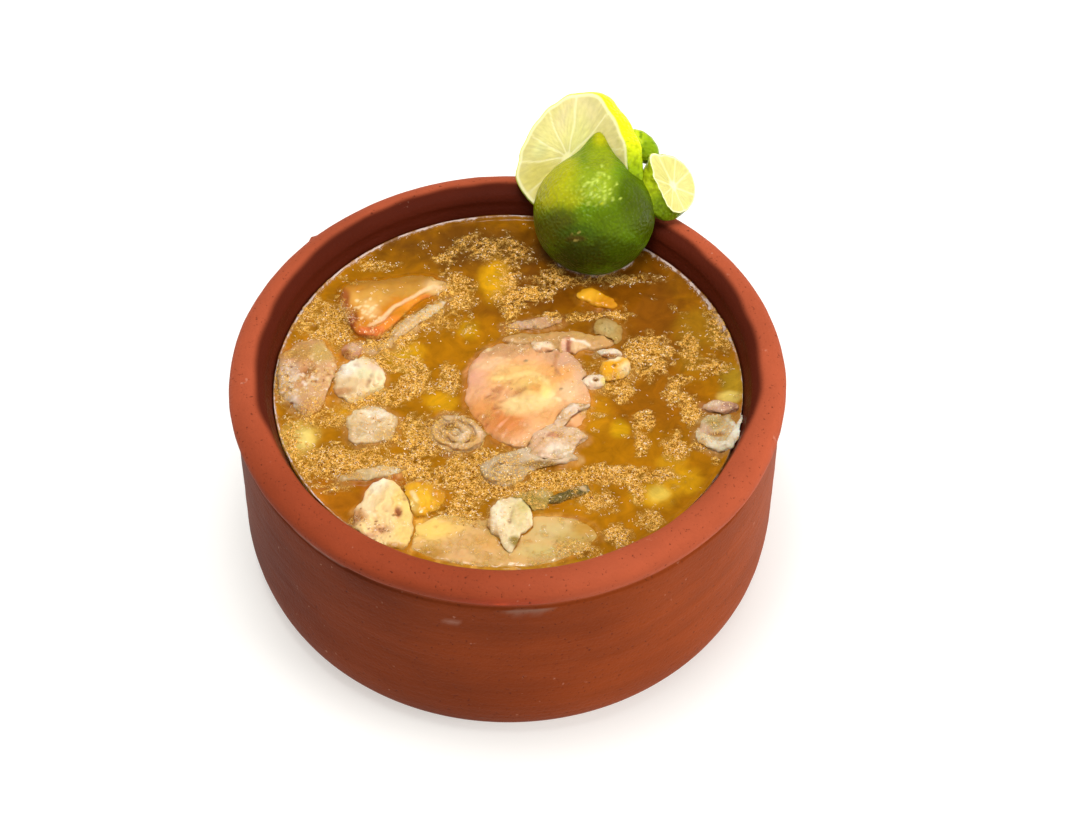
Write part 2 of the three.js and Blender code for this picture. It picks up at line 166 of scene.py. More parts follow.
def from_oval(places: Places, x: float, y: float, half_x: float, half_y: float) -> np.ndarray:
    """How far places lie from an oval's middle, seen from above: 1 is on its edge."""
    return np.hypot((places[:, 0] - x) / half_x, (places[:, 1] - y) / half_y)


def laid_over(below: str | np.ndarray, above: str | np.ndarray, share: np.ndarray) -> np.ndarray:
    """Lays colours over colours; each is a hex colour or linear ones.

    Args:
        below: The colours below.
        above: The colours above.
        share: How much of the upper ones covers each place.

    Returns:
        A linear colour for each place.
    """
    low, high = (np.array(linear(c)) if isinstance(c, str) else c for c in (below, above))
    return low * (1 - share[:, None]) + high * share[:, None]


# ---- Mesh helpers ---------------------------------------------------------


def places_of(bm: Shape) -> Places:
    """The places of a bmesh's vertices as rows."""
    return np.array([v.co for v in bm.verts], float).reshape(-1, 3)


def put(bm: Shape, places: Places) -> None:
    """Moves a bmesh's vertices to new places."""
    for vert, place in zip(bm.verts, places, strict=True):
        vert.co = place


def normals_of(bm: Shape) -> Places:
    """The normals of a bmesh's vertices as rows."""
    bm.normal_update()
    return np.array([v.normal for v in bm.verts], float).reshape(-1, 3)


def turned(profile: Profile, steps: int) -> Shape:
    """Spins a profile of radius and height once round Z.

    Args:
        profile: Points of radius and height in mm, from pole to pole.
        steps: How many steps the turn has.

    Returns:
        A closed bmesh with its normals outwards.
    """
    bm = bmesh.new()
    verts = [bm.verts.new((radius, 0, height)) for radius, height in profile]
    edges = [bm.edges.new(pair) for pair in zip(verts, verts[1:])]
    bmesh.ops.spin(
        bm, geom=verts + edges, axis=(0, 0, 1), cent=(0, 0, 0), angle=2 * math.pi, steps=steps,
        use_merge=True
    )
    bmesh.ops.remove_doubles(bm, verts=bm.verts, dist=TURNED_WELD)
    bmesh.ops.recalc_face_normals(bm, faces=bm.faces)
    return bm


def evened(bm: Shape, voxel: float) -> Shape:
    """Gives a closed shape an even skin of small faces.

    Args:
        bm: The shape in mm; it is used up.
        voxel: The width of the new faces in mm.

    Returns:
        The same shape with even faces.
    """
    rough = bpy.data.meshes.new("rough")
    bm.to_mesh(rough)
    bm.free()
    holder = bpy.data.objects.new("rough", rough)
    bpy.context.scene.collection.objects.link(holder)
    remesh = holder.modifiers.new("even", "REMESH")
    remesh.mode = "VOXEL"
    remesh.voxel_size = voxel
    even = bpy.data.meshes.new_from_object(holder.evaluated_get(bpy.context.evaluated_depsgraph_get()))
    skin = bmesh.new()
    skin.from_mesh(even)
    bpy.data.objects.remove(holder)
    bpy.data.meshes.remove(rough)
    bpy.data.meshes.remove(even)
    return skin


def cast_of(node: str, voxel: float) -> Shape:
    """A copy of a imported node's form with an even skin, in mm.

    Args:
        node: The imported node's name.
        voxel: The width of the skin's faces in mm.

    Returns:
        The copy as a bmesh.
    """
    bm = bmesh.new()
    bm.from_mesh(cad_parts[node].data)
    bmesh.ops.scale(bm, vec=(1 / MM,) * 3, verts=bm.verts)
    bmesh.ops.remove_doubles(bm, verts=bm.verts, dist=PACKED_WELD)
    return evened(bm, voxel)


def softened(bm: Shape, rounds: int) -> None:
    """Rounds a shape's corners a little in each round.

    Args:
        bm: The shape.
        rounds: How many times it is smoothed.
    """
    for _ in range(rounds):
        bmesh.ops.smooth_vert(
            bm, verts=bm.verts, factor=0.5, use_axis_x=True, use_axis_y=True, use_axis_z=True
        )


def piece_from(
    bm: Shape, name: str, materials: Sequence[Material], slot: str, replaced: Sequence[str] = (),
    tints: np.ndarray | None = None, values: dict[str, np.ndarray] | None = None
) -> Piece:
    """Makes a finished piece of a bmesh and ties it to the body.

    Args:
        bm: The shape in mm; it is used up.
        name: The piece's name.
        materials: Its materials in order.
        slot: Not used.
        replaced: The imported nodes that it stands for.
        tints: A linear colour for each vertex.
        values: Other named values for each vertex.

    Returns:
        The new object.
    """
    bmesh.ops.scale(bm, vec=(MM,) * 3, verts=bm.verts)
    mesh = bpy.data.meshes.new(name)
    bm.to_mesh(mesh)
    bm.free()
    mesh.shade_smooth()
    for material in materials:
        mesh.materials.append(material)
    if tints is not None:
        layer = mesh.attributes.new(TINT, "FLOAT_COLOR", "POINT")
        opaque = np.concatenate([tints, np.ones((len(tints), 1))], axis=1)
        layer.data.foreach_set("color", opaque.astype(np.float32).ravel())
    for key, numbers in (values or {}).items():
        layer = mesh.attributes.new(key, "FLOAT", "POINT")
        layer.data.foreach_set("value", np.asarray(numbers, np.float32))
    obj = bpy.data.objects.new(name, mesh)
    bpy.context.scene.collection.objects.link(obj)
    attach(obj, BODY)
    if replaced:
        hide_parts(*replaced)
    LOG.info("%s: %d vertices", name, len(mesh.vertices))
    return obj


# ---- Colour patches -------------------------------------------------------


class Spot(NamedTuple):
    """A soft-edged patch of another colour, seen from above, in mm."""

    x: float
    y: float
    half_x: float
    half_y: float
    colour: str
    strength: float = 1.0


# A row of a Spot's values in their order stands for it.
Row = Spot | tuple[float | str, ...]


def streak(
    route: Sequence[tuple[float, float]], half: float, colour: str, strength: float = 0.8
) -> tuple[Spot, ...]:
    """Patches in a row, as a soft line.

    Args:
        route: The line's corners as x and y.
        half: Half the line's width.
        colour: Its colour.
        strength: How much of that colour it has.

    Returns:
        The patches from start to end.
    """
    spots = []
    for start, end in zip(route, route[1:]):
        steps = max(1, round(math.dist(start, end) / (0.8 * half)))
        for i in range(steps):
            x, y = (a + (b - a) * i / steps for a, b in zip(start, end))
            spots.append(Spot(x, y, half, half, colour, strength))
    return tuple(spots)


def cluster(x: float, y: float, reach: float, count: int, half: float, colour: str) -> tuple[Spot, ...]:
    """Small patches strewn round a place.

    Args:
        x: The place's x.
        y: The place's y.
        reach: How far from it they lie.
        count: How many there are.
        half: Half the width of a patch.
        colour: Their colour.

    Returns:
        The patches.
    """
    draw = np.random.default_rng(count + round(100 * abs(x)))
    away = reach * draw.normal(0, 0.55, (count, 2))
    sizes = half * draw.uniform(0.6, 1.4, (count, 2))
    return tuple(
        Spot(x + dx, y + dy, half_x, half_y, colour, 0.9)
        for (dx, dy), (half_x, half_y) in zip(away.tolist(), sizes.tolist())
    )


def tinted(
    places: Places, base: str, spots: Sequence[Row], wander: float = 0.25, seed: float = 0.0,
    light: float = LIGHT
) -> np.ndarray:
    """Colours places by the patches that they lie in.

    Args:
        places: Rows of x, y and z in mm.
        base: The colour outside the patches.
        spots: The patches, later ones over earlier ones.
        wander: How far the patches' edges wander, as a share of their size.
        seed: Moves the wandering.
        light: The brightness of the light under which the colours look as noted.

    Returns:
        A linear colour for each place.
    """
    colours = np.tile(linear(base), (len(places), 1))
    drift = wander * (hum(places, 9, seed) + 0.6 * hum(places, 3, seed + 1))
    for *oval, colour, strength in (Spot(*row) for row in spots):
        away = from_oval(places, *oval)
        colours = laid_over(colours, colour, strength * eased(1.35, 0.45, away + drift))
    return colours / light


# ---- Finishes -------------------------------------------------------------


def add(tree: Tree, kind: str, inputs: Look, out: str | None = None, **settings: object) -> Socket:
    """Adds a node to a material.

    Args:
        tree: The material's node tree.
        kind: The node's type, without the "ShaderNode" that it starts with.
        inputs: A value for a socket, or another node's socket that is linked to it.
        out: The output that is wanted, where it isn't the first one in use.
        settings: The node's own settings; `stops` are a colour ramp's places and colours.

    Returns:
        The wanted output of the new node.
    """
    node = tree.nodes.new("ShaderNode" + kind)
    for key, value in settings.items():
        if key != "stops":
            setattr(node, key, value)
            continue
        ramp = node.color_ramp.elements
        while len(ramp) < len(value):
            ramp.new(1.0)
        for stop, (place, colour) in zip(ramp, value, strict=True):
            stop.position = place
            stop.color = colour
    for key, value in inputs.items():
        if isinstance(value, Socket):
            tree.links.new(value, node.inputs[key])
        else:
            node.inputs[key].default_value = value
    return node.outputs[out] if out else next(socket for socket in node.outputs if socket.enabled)


@dataclass(frozen=True)
class Finish:
    """What every finish shares: its name, the place on the piece and the piece's own tint."""

    name: str

    def look(self, tree: Tree, where: Socket, tint: Socket) -> Look:
        """Adds the finish's nodes.

        Args:
            tree: The material's node tree.
            where: The place in Object coordinates.
            tint: The piece's own colour there.

        Returns:
            The inputs of its surface shader.
        """
        raise NotImplementedError

    def material(self) -> Material:
        """Builds the material.

        Returns:
            The new material.
        """
        material = bpy.data.materials.new(self.name)
        material.use_nodes = True
        tree = material.node_tree
        tree.nodes.clear()
        output = tree.nodes.new("ShaderNodeOutputMaterial")
        where = add(tree, "TexCoord", {}, "Object")
        tint = add(tree, "Attribute", {}, attribute_name=TINT)
        shader = add(tree, "BsdfPrincipled", self.look(tree, where, tint))
        tree.links.new(shader, output.inputs["Surface"])
        return material


@dataclass(frozen=True)
class Scum:
    """Scum skimmed off simmering bones: fine curled threads of set protein over brown gaps.

    The threads are wet and stand up from the soup, so each catches a small glint;
    their pale crests are also a painted highlight.
    """

    sizes: tuple[tuple[float, float], ...] = ((0.85, 0.12), (1.9, 0.045))
    # The palest tones, on the crests, are pale scum with a painted highlight.
    tones: tuple[tuple[float, str], ...] = (
        (0, "#6a3606"), (0.25, "#90540c"), (0.5, "#c07c18"), (0.78, "#e6a63a"), (1, "#fad27a")
    )

    def nodes(self, tree: Tree, where: Socket, froth: Socket) -> tuple[Socket, Socket, Socket]:
        """Adds scum to a material.

        Args:
            tree: The material's node tree.
            where: The place in Object coordinates.
            froth: How thickly the scum lies, from 0 to 1.

        Returns:
            Its colour, how much of it shows, and its height from 0 to 1.
        """
        crests = []
        for size, width in self.sizes:
            # A thread runs where the noise passes its middle value, so it curls and closes.
            wave = {"Vector": where, "Scale": per_mm(size), "Detail": 2, "Distortion": 1.1}
            middle = add(tree, "Math", {0: add(tree, "TexNoise", wave), 1: 0.5}, operation="SUBTRACT")
            away = add(tree, "Math", {0: middle}, operation="ABSOLUTE")
            crests.append(add(tree, "MapRange", {"Value": away, "From Min": width, "From Max": 0}))
        height = add(tree, "Math", {0: crests[0], 1: crests[1]}, operation="MAXIMUM")
        stops = [(place, rgba(colour)) for place, colour in self.tones]
        tone = add(tree, "ValToRGB", {"Fac": height}, stops=stops)
        thick = add(tree, "Math", {0: height, 1: 0.6, 2: froth}, operation="MULTIPLY_ADD")
        shown = add(tree, "MapRange", {"Value": thick, "From Min": 0.64, "From Max": 1})
        return tone, shown, add(tree, "Math", {0: height, 1: shown}, operation="MULTIPLY")


@dataclass(frozen=True)
class FiredClay(Finish):
    """Unglazed earthenware, thrown on a wheel and fired brick red.

    Its surface is matt and slightly sandy, with throwing lines, smears and a few
    pits, and it is shiny where it is wet with soup; its tint there is dark, partly
    wet clay and partly painted shade.
    """

    name: str = "unglazed_wheel_thrown_earthenware"
    grit: str = "#4a1c10"
    salt: str = "#d8a890"
    roughness: float = 0.55
    wet_roughness: float = 0.3

    def look(self, tree: Tree, where: Socket, tint: Socket) -> Look:
        """Adds the clay's nodes, as `Finish.look` says.

        Args:
            tree: The material's node tree.
            where: The place in Object coordinates.
            tint: The piece's own colour there.

        Returns:
            The inputs of the surface shader.
        """
        wet = add(tree, "Attribute", {}, "Fac", attribute_name="wet")
        # Smears: broad clouds, drawn out sideways by the potter's wet hand.
        along = add(tree, "Mapping", {"Vector": where, "Scale": (0.5, 0.5, 1.6)})
        smears = add(
            tree, "TexNoise", {"Vector": along, "Scale": per_mm(18), "Detail": 9, "Roughness": 0.7}
        )
        spread = {"From Min": 0.3, "From Max": 0.7, "To Min": 0.86, "To Max": 1.1}
        cloud = add(tree, "MapRange", {"Value": smears, **spread})
        # Fingers leave rings about 2 mm apart as the pot turns.
        flat = add(tree, "Mapping", {"Vector": where, "Scale": (0.06, 0.06, 1)})
        rings = add(tree, "TexNoise", {"Vector": flat, "Scale": per_mm(2.4), "Detail": 3})
        ring_shade = add(tree, "MapRange", {"Value": rings, "To Min": 0.92, "To Max": 1.08})
        shade = add(tree, "Math", {0: cloud, 1: ring_shade}, operation="MULTIPLY")
        body = add(tree, "VectorMath", {0: tint, "Scale": shade}, operation="SCALE")
        # Sand grains of about half a millimetre leave dark pits.
        sand = add(tree, "TexNoise", {"Vector": where, "Scale": per_mm(1.1), "Detail": 3})
        pits = add(tree, "MapRange", {"Value": sand, "From Min": 0.36, "From Max": 0.27, "To Max": 0.8})
        specked = add(tree, "Mix", {"Factor": pits, 6: body, 7: rgba(self.grit)}, data_type="RGBA")
        # Lime in the clay blooms as a few pale flecks.
        bloom = add(tree, "TexNoise", {"Vector": where, "Scale": per_mm(3.2), "Detail": 6})
        flecks = add(tree, "MapRange", {"Value": bloom, "From Min": 0.7, "From Max": 0.8, "To Max": 0.45})
        dry = add(tree, "Math", {0: flecks, 1: wet}, operation="SUBTRACT", use_clamp=True)
        coloured = add(tree, "Mix", {"Factor": dry, 6: specked, 7: rgba(self.salt)}, data_type="RGBA")
        grain = add(tree, "Math", {0: sand, 1: rings}, operation="ADD")
        bump = add(tree, "Bump", {"Height": grain, "Strength": 0.6, "Distance": 0.35 * MM})
        gloss = {"Value": wet, "To Min": self.roughness, "To Max": self.wet_roughness}
        return {
            "Base Color": coloured, "Roughness": add(tree, "MapRange", gloss), "IOR": 1.45,
            "Specular IOR Level": 0.05, "Normal": bump
        }


@dataclass(frozen=True)
class CloudyBroth(Finish):
    """Amber bone broth with melted fat, still and wet.

    It is cloudy, so what is sunk in it shows only as soft patches. Its skin is
    smooth between the froth, and crinkled where scum has gathered.
    """

    name: str = "cloudy_bone_broth"
    # Painted light and shade across the soup's raised edge: a dark painted shade, a pale painted
    # reflection, a thin painted shadow and a last painted highlight.
    edge: tuple[tuple[float, str, float], ...] = (
        (0, "#4a2010", 1), (0.07, "#4a2010", 0.9), (0.12, "#b8a49c", 1), (0.42, "#cbb6aa", 0.95),
        (0.5, "#5a3210", 0.8), (0.56, "#6a3c10", 0.6), (0.61, "#d8b890", 0.6), (0.7, "#c08840", 0)
    )

    def look(self, tree: Tree, where: Socket, tint: Socket) -> Look:
        """Adds the broth's nodes, as `Finish.look` says.

        Args:
            tree: The material's node tree.
            where: The place in Object coordinates.
            tint: The piece's own colour there.

        Returns:
            The inputs of the surface shader.
        """
        froth = add(tree, "Attribute", {}, "Fac", attribute_name="froth")
        shore = add(tree, "Attribute", {}, "Fac", attribute_name="shore")
        # Fat clouds of a few millimetres drift under the skin.
        drift = {"Scale": per_mm(6), "Detail": 9, "Roughness": 0.68, "Distortion": 0.8}
        clouds = add(tree, "TexNoise", {"Vector": where, **drift})
        spread = {"From Min": 0.3, "From Max": 0.7, "To Min": 0.7, "To Max": 1.26}
        depth = add(tree, "MapRange", {"Value": clouds, **spread})
        amber = add(tree, "VectorMath", {0: tint, "Scale": depth}, operation="SCALE")
        scum, shown, height = Scum().nodes(tree, where, froth)
        frothy = add(tree, "Mix", {"Factor": shown, 6: amber, 7: scum}, data_type="RGBA")
        # Froth and drops break up the painted light and shade at the soup's edge.
        ragged = add(tree, "TexNoise", {"Vector": where, "Scale": per_mm(1.6), "Detail": 3})
        spread = {"From Min": 0.3, "From Max": 0.7, "To Min": 0.36, "To Max": 0.8}
        wavy = add(tree, "MapRange", {"Value": ragged, **spread})
        half = add(tree, "Math", {0: shore, 1: wavy}, operation="MULTIPLY")
        stops = [(place, (*linear(colour), share)) for place, colour, share in self.edge]
        edge = add(tree, "ValToRGB", {"Fac": half}, stops=stops)
        gaps = add(tree, "MapRange", {"Value": clouds, "From Min": 0.44, "From Max": 0.54, "To Min": 0.15})
        broken = add(tree, "Math", {0: edge.node.outputs["Alpha"], 1: gaps}, operation="MULTIPLY")
        coloured = add(tree, "Mix", {"Factor": broken, 6: frothy, 7: edge}, data_type="RGBA")
        ripples = add(
            tree, "TexNoise", {"Vector": where, "Scale": per_mm(3.2), "Detail": 3, "Distortion": 0.4}
        )
        relief = add(tree, "Math", {0: height, 1: 1.6, 2: ripples}, operation="MULTIPLY_ADD")
        bump = add(tree, "Bump", {"Height": relief, "Strength": 0.7, "Distance": 0.2 * MM})
        return {
            "Base Color": coloured, "Roughness": 0.12, "IOR": 1.36, "Specular IOR Level": 0.16,
            "Subsurface Weight": 0.08, "Subsurface Radius": (1.6, 0.9, 0.3), "Subsurface Scale": MM,
            "Normal": bump
        }


@dataclass(frozen=True)
class Foam(Finish):
    """Bubbles of simmered fat and protein: thin cream films, each with a sharp glint."""

    name: str = "simmered_protein_foam"

    def look(self, tree: Tree, where: Socket, tint: Socket) -> Look:
        """Adds the foam's nodes, as `Finish.look` says.

        Args:
            tree: The material's node tree.
            where: The place in Object coordinates.
            tint: The piece's own colour there.

        Returns:
            The inputs of the surface shader.
        """
        return {
            "Base Color": tint, "Roughness": 0.16, "IOR": 1.36, "Specular IOR Level": 0.26,
            "Subsurface Weight": 0.12, "Subsurface Radius": (0.6, 0.4, 0.2), "Subsurface Scale": MM
        }


@dataclass(frozen=True)
class BoiledTissue(Finish):
    """A kind of long-boiled tissue: soft, see-through at its edges and wet with broth."""

    roughness: float
    scatter: float
    grain: float
    relief: float
    mottle: float

    def look(self, tree: Tree, where: Socket, tint: Socket) -> Look:
        """Adds the tissue's nodes, as `Finish.look` says.

        Args:
            tree: The material's node tree.
            where: The place in Object coordinates.
            tint: The piece's own colour there.

        Returns:
            The inputs of the surface shader.
        """
        swirl = {"Scale": per_mm(3.4 * self.grain), "Detail": 5, "Distortion": 1.2}
        marbling = add(tree, "TexNoise", {"Vector": where, **swirl})
        shades = {"Factor": marbling, 6: rgba("#d2a478"), 7: rgba("#fffdf6")}
        shade = add(tree, "Mix", shades, data_type="RGBA")
        layers = {"Factor": self.mottle, 6: tint, 7: shade}
        coloured = add(tree, "Mix", layers, data_type="RGBA", blend_type="MULTIPLY")
        strands = {"Scale": per_mm(self.grain), "Detail": 4, "Distortion": 0.6}
        fibres = add(tree, "TexNoise", {"Vector": where, **strands})
        # Scum from the soup clings to the flesh.
        froth = add(tree, "Attribute", {}, "Fac", attribute_name="froth")
        scum, _, height = Scum().nodes(tree, where, froth)
        frothy = add(tree, "Mix", {"Factor": height, 6: coloured, 7: scum}, data_type="RGBA")
        relief = add(tree, "Math", {0: fibres, 1: self.relief, 2: height}, operation="MULTIPLY_ADD")
        bump = add(tree, "Bump", {"Height": relief, "Strength": 0.9, "Distance": 0.25 * MM})
        return {
            "Base Color": frothy, "Roughness": self.roughness, "IOR": 1.4,
            "Subsurface Weight": self.scatter, "Subsurface Radius": (2.6, 1.3, 0.6), "Subsurface Scale": MM,
            "Coat Weight": 0.08, "Coat Roughness": 0.1, "Normal": bump
        }


class Tissue(Enum):
    """The kinds of tissue in the soup, with their finishes."""

    SKIN = BoiledTissue("boiled_skin", 0.34, 0.3, 1.6, 0.3, 0.2)
    FAT = BoiledTissue("soft_boiled_fat", 0.2, 0.4, 2.4, 0.2, 0.15)
    CARTILAGE = BoiledTissue("boiled_cartilage", 0.18, 0.4, 2, 0.25, 0.14)
    TENDON = BoiledTissue("boiled_tendon", 0.22, 0.3, 0.8, 0.5, 0.25)
    BONE = BoiledTissue("boiled_bone_end", 0.3, 0.25, 1.1, 0.35, 0.18)
    LEAF = BoiledTissue("wilted_leaf_shred", 0.26, 0.15, 0.7, 0.4, 0.8)


@dataclass(frozen=True)
class LimePeel(Finish):
    """Waxed lime peel, grown smooth over round oil glands that leave fine pores."""

    name: str = "waxed_lime_peel"
    pore: float = 1.15
    relief: float = 1.0

    def look(self, tree: Tree, where: Socket, tint: Socket) -> Look:
        """Adds the peel's nodes, as `Finish.look` says.

        Args:
            tree: The material's node tree.
            where: The place in Object coordinates.
            tint: The piece's own colour there.

        Returns:
            The inputs of the surface shader.
        """
        pores = {"Vector": where, "Scale": per_mm(self.pore), "Randomness": 0.85}
        glands = add(tree, "TexVoronoi", pores, feature="SMOOTH_F1")
        # Glands are a little paler than the peel between them.
        shade = add(tree, "MapRange", {"Value": glands, "From Max": 0.8, "To Min": 1.12, "To Max": 0.84})
        mottle = add(tree, "TexNoise", {"Vector": where, "Scale": per_mm(6), "Detail": 4})
        cloud = add(tree, "MapRange", {"Value": mottle, "To Min": 0.78, "To Max": 1.22})
        light = add(tree, "Math", {0: shade, 1: cloud}, operation="MULTIPLY")
        coloured = add(tree, "VectorMath", {0: tint, "Scale": light}, operation="SCALE")
        dimples = {"Height": glands, "Strength": self.relief, "Distance": 0.5 * MM}
        return {
            "Base Color": coloured, "Roughness": 0.3, "IOR": 1.45, "Specular IOR Level": 0.14,
            "Subsurface Weight": 0.08, "Subsurface Radius": (0.8, 1.2, 0.3), "Subsurface Scale": MM,
            "Normal": add(tree, "Bump", dimples, invert=True)
        }


@dataclass(frozen=True)
class LimePulp(Finish):
    """A wet knife-cut face of lime: pale juice sacs that let light through."""

    name: str = "knife_cut_lime_pulp"

    def look(self, tree: Tree, where: Socket, tint: Socket) -> Look:
        """Adds the pulp's nodes, as `Finish.look` says.

        Args:
            tree: The material's node tree.
            where: The place in Object coordinates.
            tint: The piece's own colour there.

        Returns:
            The inputs of the surface shader.
        """
        sacs = add(
            tree, "TexNoise", {"Vector": where, "Scale": per_mm(1.6), "Detail": 3, "Distortion": 0.8}
        )
        shades = {"Factor": sacs, 6: rgba("#e6dcae"), 7: rgba("#ffffff")}
        layers = {"Factor": 0.3, 6: tint, 7: add(tree, "Mix", shades, data_type="RGBA")}
        coloured = add(tree, "Mix", layers, data_type="RGBA", blend_type="MULTIPLY")
        bump = add(tree, "Bump", {"Height": sacs, "Strength": 0.3, "Distance": 0.3 * MM})
        return {
            "Base Color": coloured, "Roughness": 0.25, "IOR": 1.36, "Subsurface Weight": 0.5,
            "Subsurface Radius": (2.4, 2.2, 0.8), "Subsurface Scale": MM, "Normal": bump
        }


@dataclass(frozen=True)
class StudioPaper(Finish):
    """Matt white backdrop paper, lit so evenly that it seems to glow a little."""

    name: str = "matt_white_paper"
    glow: float = 0.5

    def look(self, tree: Tree, where: Socket, tint: Socket) -> Look:
        """Adds the paper's nodes, as `Finish.look` says.

        Args:
            tree: The material's node tree.
            where: The place in Object coordinates.
            tint: The piece's own colour there.

        Returns:
            The inputs of the surface shader.
        """
        return {
            "Base Color": rgba("#c9c8c5"), "Roughness": 0.8, "Specular IOR Level": 0.1,
            "Emission Color": rgba("#fffdf8"), "Emission Strength": self.glow
        }


# ---- The bowl -------------------------------------------------------------


@dataclass(frozen=True)
class Dent:
    """A chip or a lump left on the clay: its place, reach and height in mm."""

    x: float
    y: float
    z: float
    reach: float
    height: float


@dataclass(frozen=True)
class Mark:
    """A scuff on the clay, or a painted highlight on it: its place, its half-width and half-height in mm,
    and its colour.
    """

    x: float
    y: float
    z: float
    half: float
    half_z: float
    colour: str
    strength: float

    def on(self, places: Places, tints: np.ndarray) -> np.ndarray:
        """The colours with the scuff or painted highlight on them, broken up along the clay.

        Args:
            places: Rows of x, y and z in mm.
            tints: The clay's linear colours there.

        Returns:
            The new colours.
        """
        flat = np.hypot(places[:, 0] - self.x, places[:, 1] - self.y) / self.half
        away = np.hypot(flat, (places[:, 2] - self.z) / self.half_z)
        broken = 0.35 * hum(places * (0.4, 0.4, 2.5), 1.6, self.x)
        return laid_over(tints, self.colour, self.strength * eased(1.2, 0.5, away + broken))


@dataclass(frozen=True)
class Bowl:
    """The thrown pot: a straight wall, a rolled rim and a flat foot, in mm."""

    rim_centre: float = 84.1
    rim_waist: float = 74.7
    rim_half_width: float = 5.9
    rim_crown: float = 3.9
    wall_radius: float = 88.4
    crease_height: float = 69.5
    foot_radius: float = 82.0
    foot_curve: float = 19.5
    inner_top: float = 76.4
    inner_foot: float = 74.5
    floor: float = 12.0
    floor_fillet: float = 14.0
    soup_level: float = 70.1
    turns: int = 300
    wobble: float = 0.35
    lit: str = "#a24c30"
    shaded_rim: str = "#8c3c22"
    shaded_wall: str = "#5f240c"
    lit_wall: str = "#883a13"
    damp_and_shade: str = "#4a190c"
    dents: tuple[Dent, ...] = (
        Dent(87.0, -27.4, 76.5, 4.0, -0.9), Dent(84.6, -31.5, 76.0, 3.0, -0.7),
        Dent(-65.5, 61.6, 76.0, 1.6, 0.8)
    )
    marks: tuple[Mark, ...] = (
        Mark(4.0, -88.3, 67.4, 9.0, 1.3, "#8c6a5a", 0.75),
        Mark(-3.0, -89.5, 73.0, 2.4, 1.6, "#c84e26", 0.7),
        Mark(-2.0, -89.5, 73.6, 16.0, 2.6, "#a8341c", 0.35),
        Mark(-18.0, -86.2, 60.0, 2.4, 0.8, "#a07868", 0.5),
        # These three are a painted highlight: a thin pale line along the crease on the left.
        Mark(-62.0, -64.0, 69.4, 14.0, 0.45, "#c08c7c", 0.7),
        Mark(-80.0, -40.0, 69.4, 12.0, 0.45, "#c08c7c", 0.6),
        Mark(-88.0, -18.0, 70.0, 9.0, 0.5, "#b08474", 0.5)
    )

    def profile(self) -> list[tuple[float, float]]:
        """The outline from the middle of the foot round the rim to the middle of the floor.

        Returns:
            Points of radius and height in mm.
        """
        roll = self.rim_waist - self.crease_height
        rim = (self.rim_centre, self.rim_waist)
        foot = (self.foot_radius, self.foot_curve)
        heel = (self.wall_radius - self.foot_radius, self.foot_curve)
        fillet = self.floor_fillet
        corner = (self.inner_foot - fillet, self.floor + fillet)
        tall = self.crease_height - 1.4 - self.foot_curve
        wall = [(self.wall_radius, self.foot_curve + tall * i / 24) for i in range(1, 25)]
        return [
            (0, 0), (self.foot_radius * 0.5, 0), *arc(foot, heel, -90, 0, 10), *wall,
            (self.wall_radius - 0.15, self.crease_height - 0.7),
            (self.wall_radius - 0.55, self.crease_height - 0.35),
            *arc(rim, (self.rim_half_width, roll), -46, 0, 8)[1:],
            *arc(rim, (self.rim_half_width, self.rim_crown), 0, 180, 28)[1:],
            (self.inner_top + 1.0, self.rim_waist - 1.6), (self.inner_top + 0.4, self.rim_waist - 3.0),
            (self.inner_top, self.soup_level), (self.inner_top - 0.2, self.soup_level - 3),
            *arc(corner, (fillet, fillet), 0, -90, 8), (0, self.floor)
        ]

    def shape(self) -> Shape:
        """The turned form with the potter's unevenness and its dents.

        Returns:
            The bowl as a bmesh in mm.
        """
        bm = turned(self.profile(), self.turns)
        places = places_of(bm)
        radius = np.hypot(places[:, 0], places[:, 1])
        standing = eased(2, 20, places[:, 2]) * eased(60, 75, radius)
        uneven = self.wobble * hum(places, 34, 2) + 0.12 * hum(places, 7, 3)
        outwards = normals_of(bm)
        places += outwards * (uneven * standing)[:, None]
        for dent in self.dents:
            away = np.linalg.norm(places - (dent.x, dent.y, dent.z), axis=1)
            places += outwards * (dent.height * eased(dent.reach, 0, away))[:, None]
        put(bm, places)
        return bm

    def build(self) -> Piece:
        """Makes the bowl and paints its clay, its painted light and shade, and its wet parts.

        Returns:
            The finished piece.
        """
        bm = self.shape()
        places = places_of(bm)
        radius = np.hypot(places[:, 0], places[:, 1])
        height = places[:, 2]
        angle = np.arctan2(places[:, 1], places[:, 0])
        # The dark, wet inside reaches further up the rim at the back than at the front: wet clay, darkened
        # further with painted shade.
        back = np.sin(angle)
        reach = self.rim_centre - 1.2 + 2.6 * np.clip(back, 0, 1) - 3.4 * eased(-0.1, -0.5, back)
        inside = eased(reach, reach - 2.6, radius + 0.7 * hum(places, 12, 5))
        # Painted shade: the rim is darker towards the front left.
        front = eased(0.55, 0.98, -np.cos(angle - math.radians(55)))
        tints = laid_over(self.lit, self.shaded_rim, front)
        wall = eased(self.rim_waist + 0.5, self.crease_height - 1.0, height)
        # Painted light and shade: the wall is darker on the left and lighter on the right.
        right = np.clip(0.5 + 0.5 * np.cos(angle + 0.3) + 0.3 * hum(places, 30, 6), 0, 1)
        tints = laid_over(tints, laid_over(self.shaded_wall, self.lit_wall, right), wall)
        for mark in self.marks:
            tints = mark.on(places, tints)
        # Painted shade and wet clay: the inside of the rim is darker.
        tints = laid_over(tints, self.damp_and_shade, inside)
        wet = inside * eased(self.rim_waist + 3.5, self.rim_waist, height)
        clay = FiredClay().material()
        return piece_from(bm, "clay_bowl", [clay], "bowl", ["bowl"], tints, {"wet": wet})


# ---- Trotter pieces -------------------------------------------------------

# Heights in mm: the soup's surface, and a place higher than every piece.
BROTH_LEVEL = 70.1
ABOVE_ALL = 120.0
BROTH_COLOUR = "#b07006"


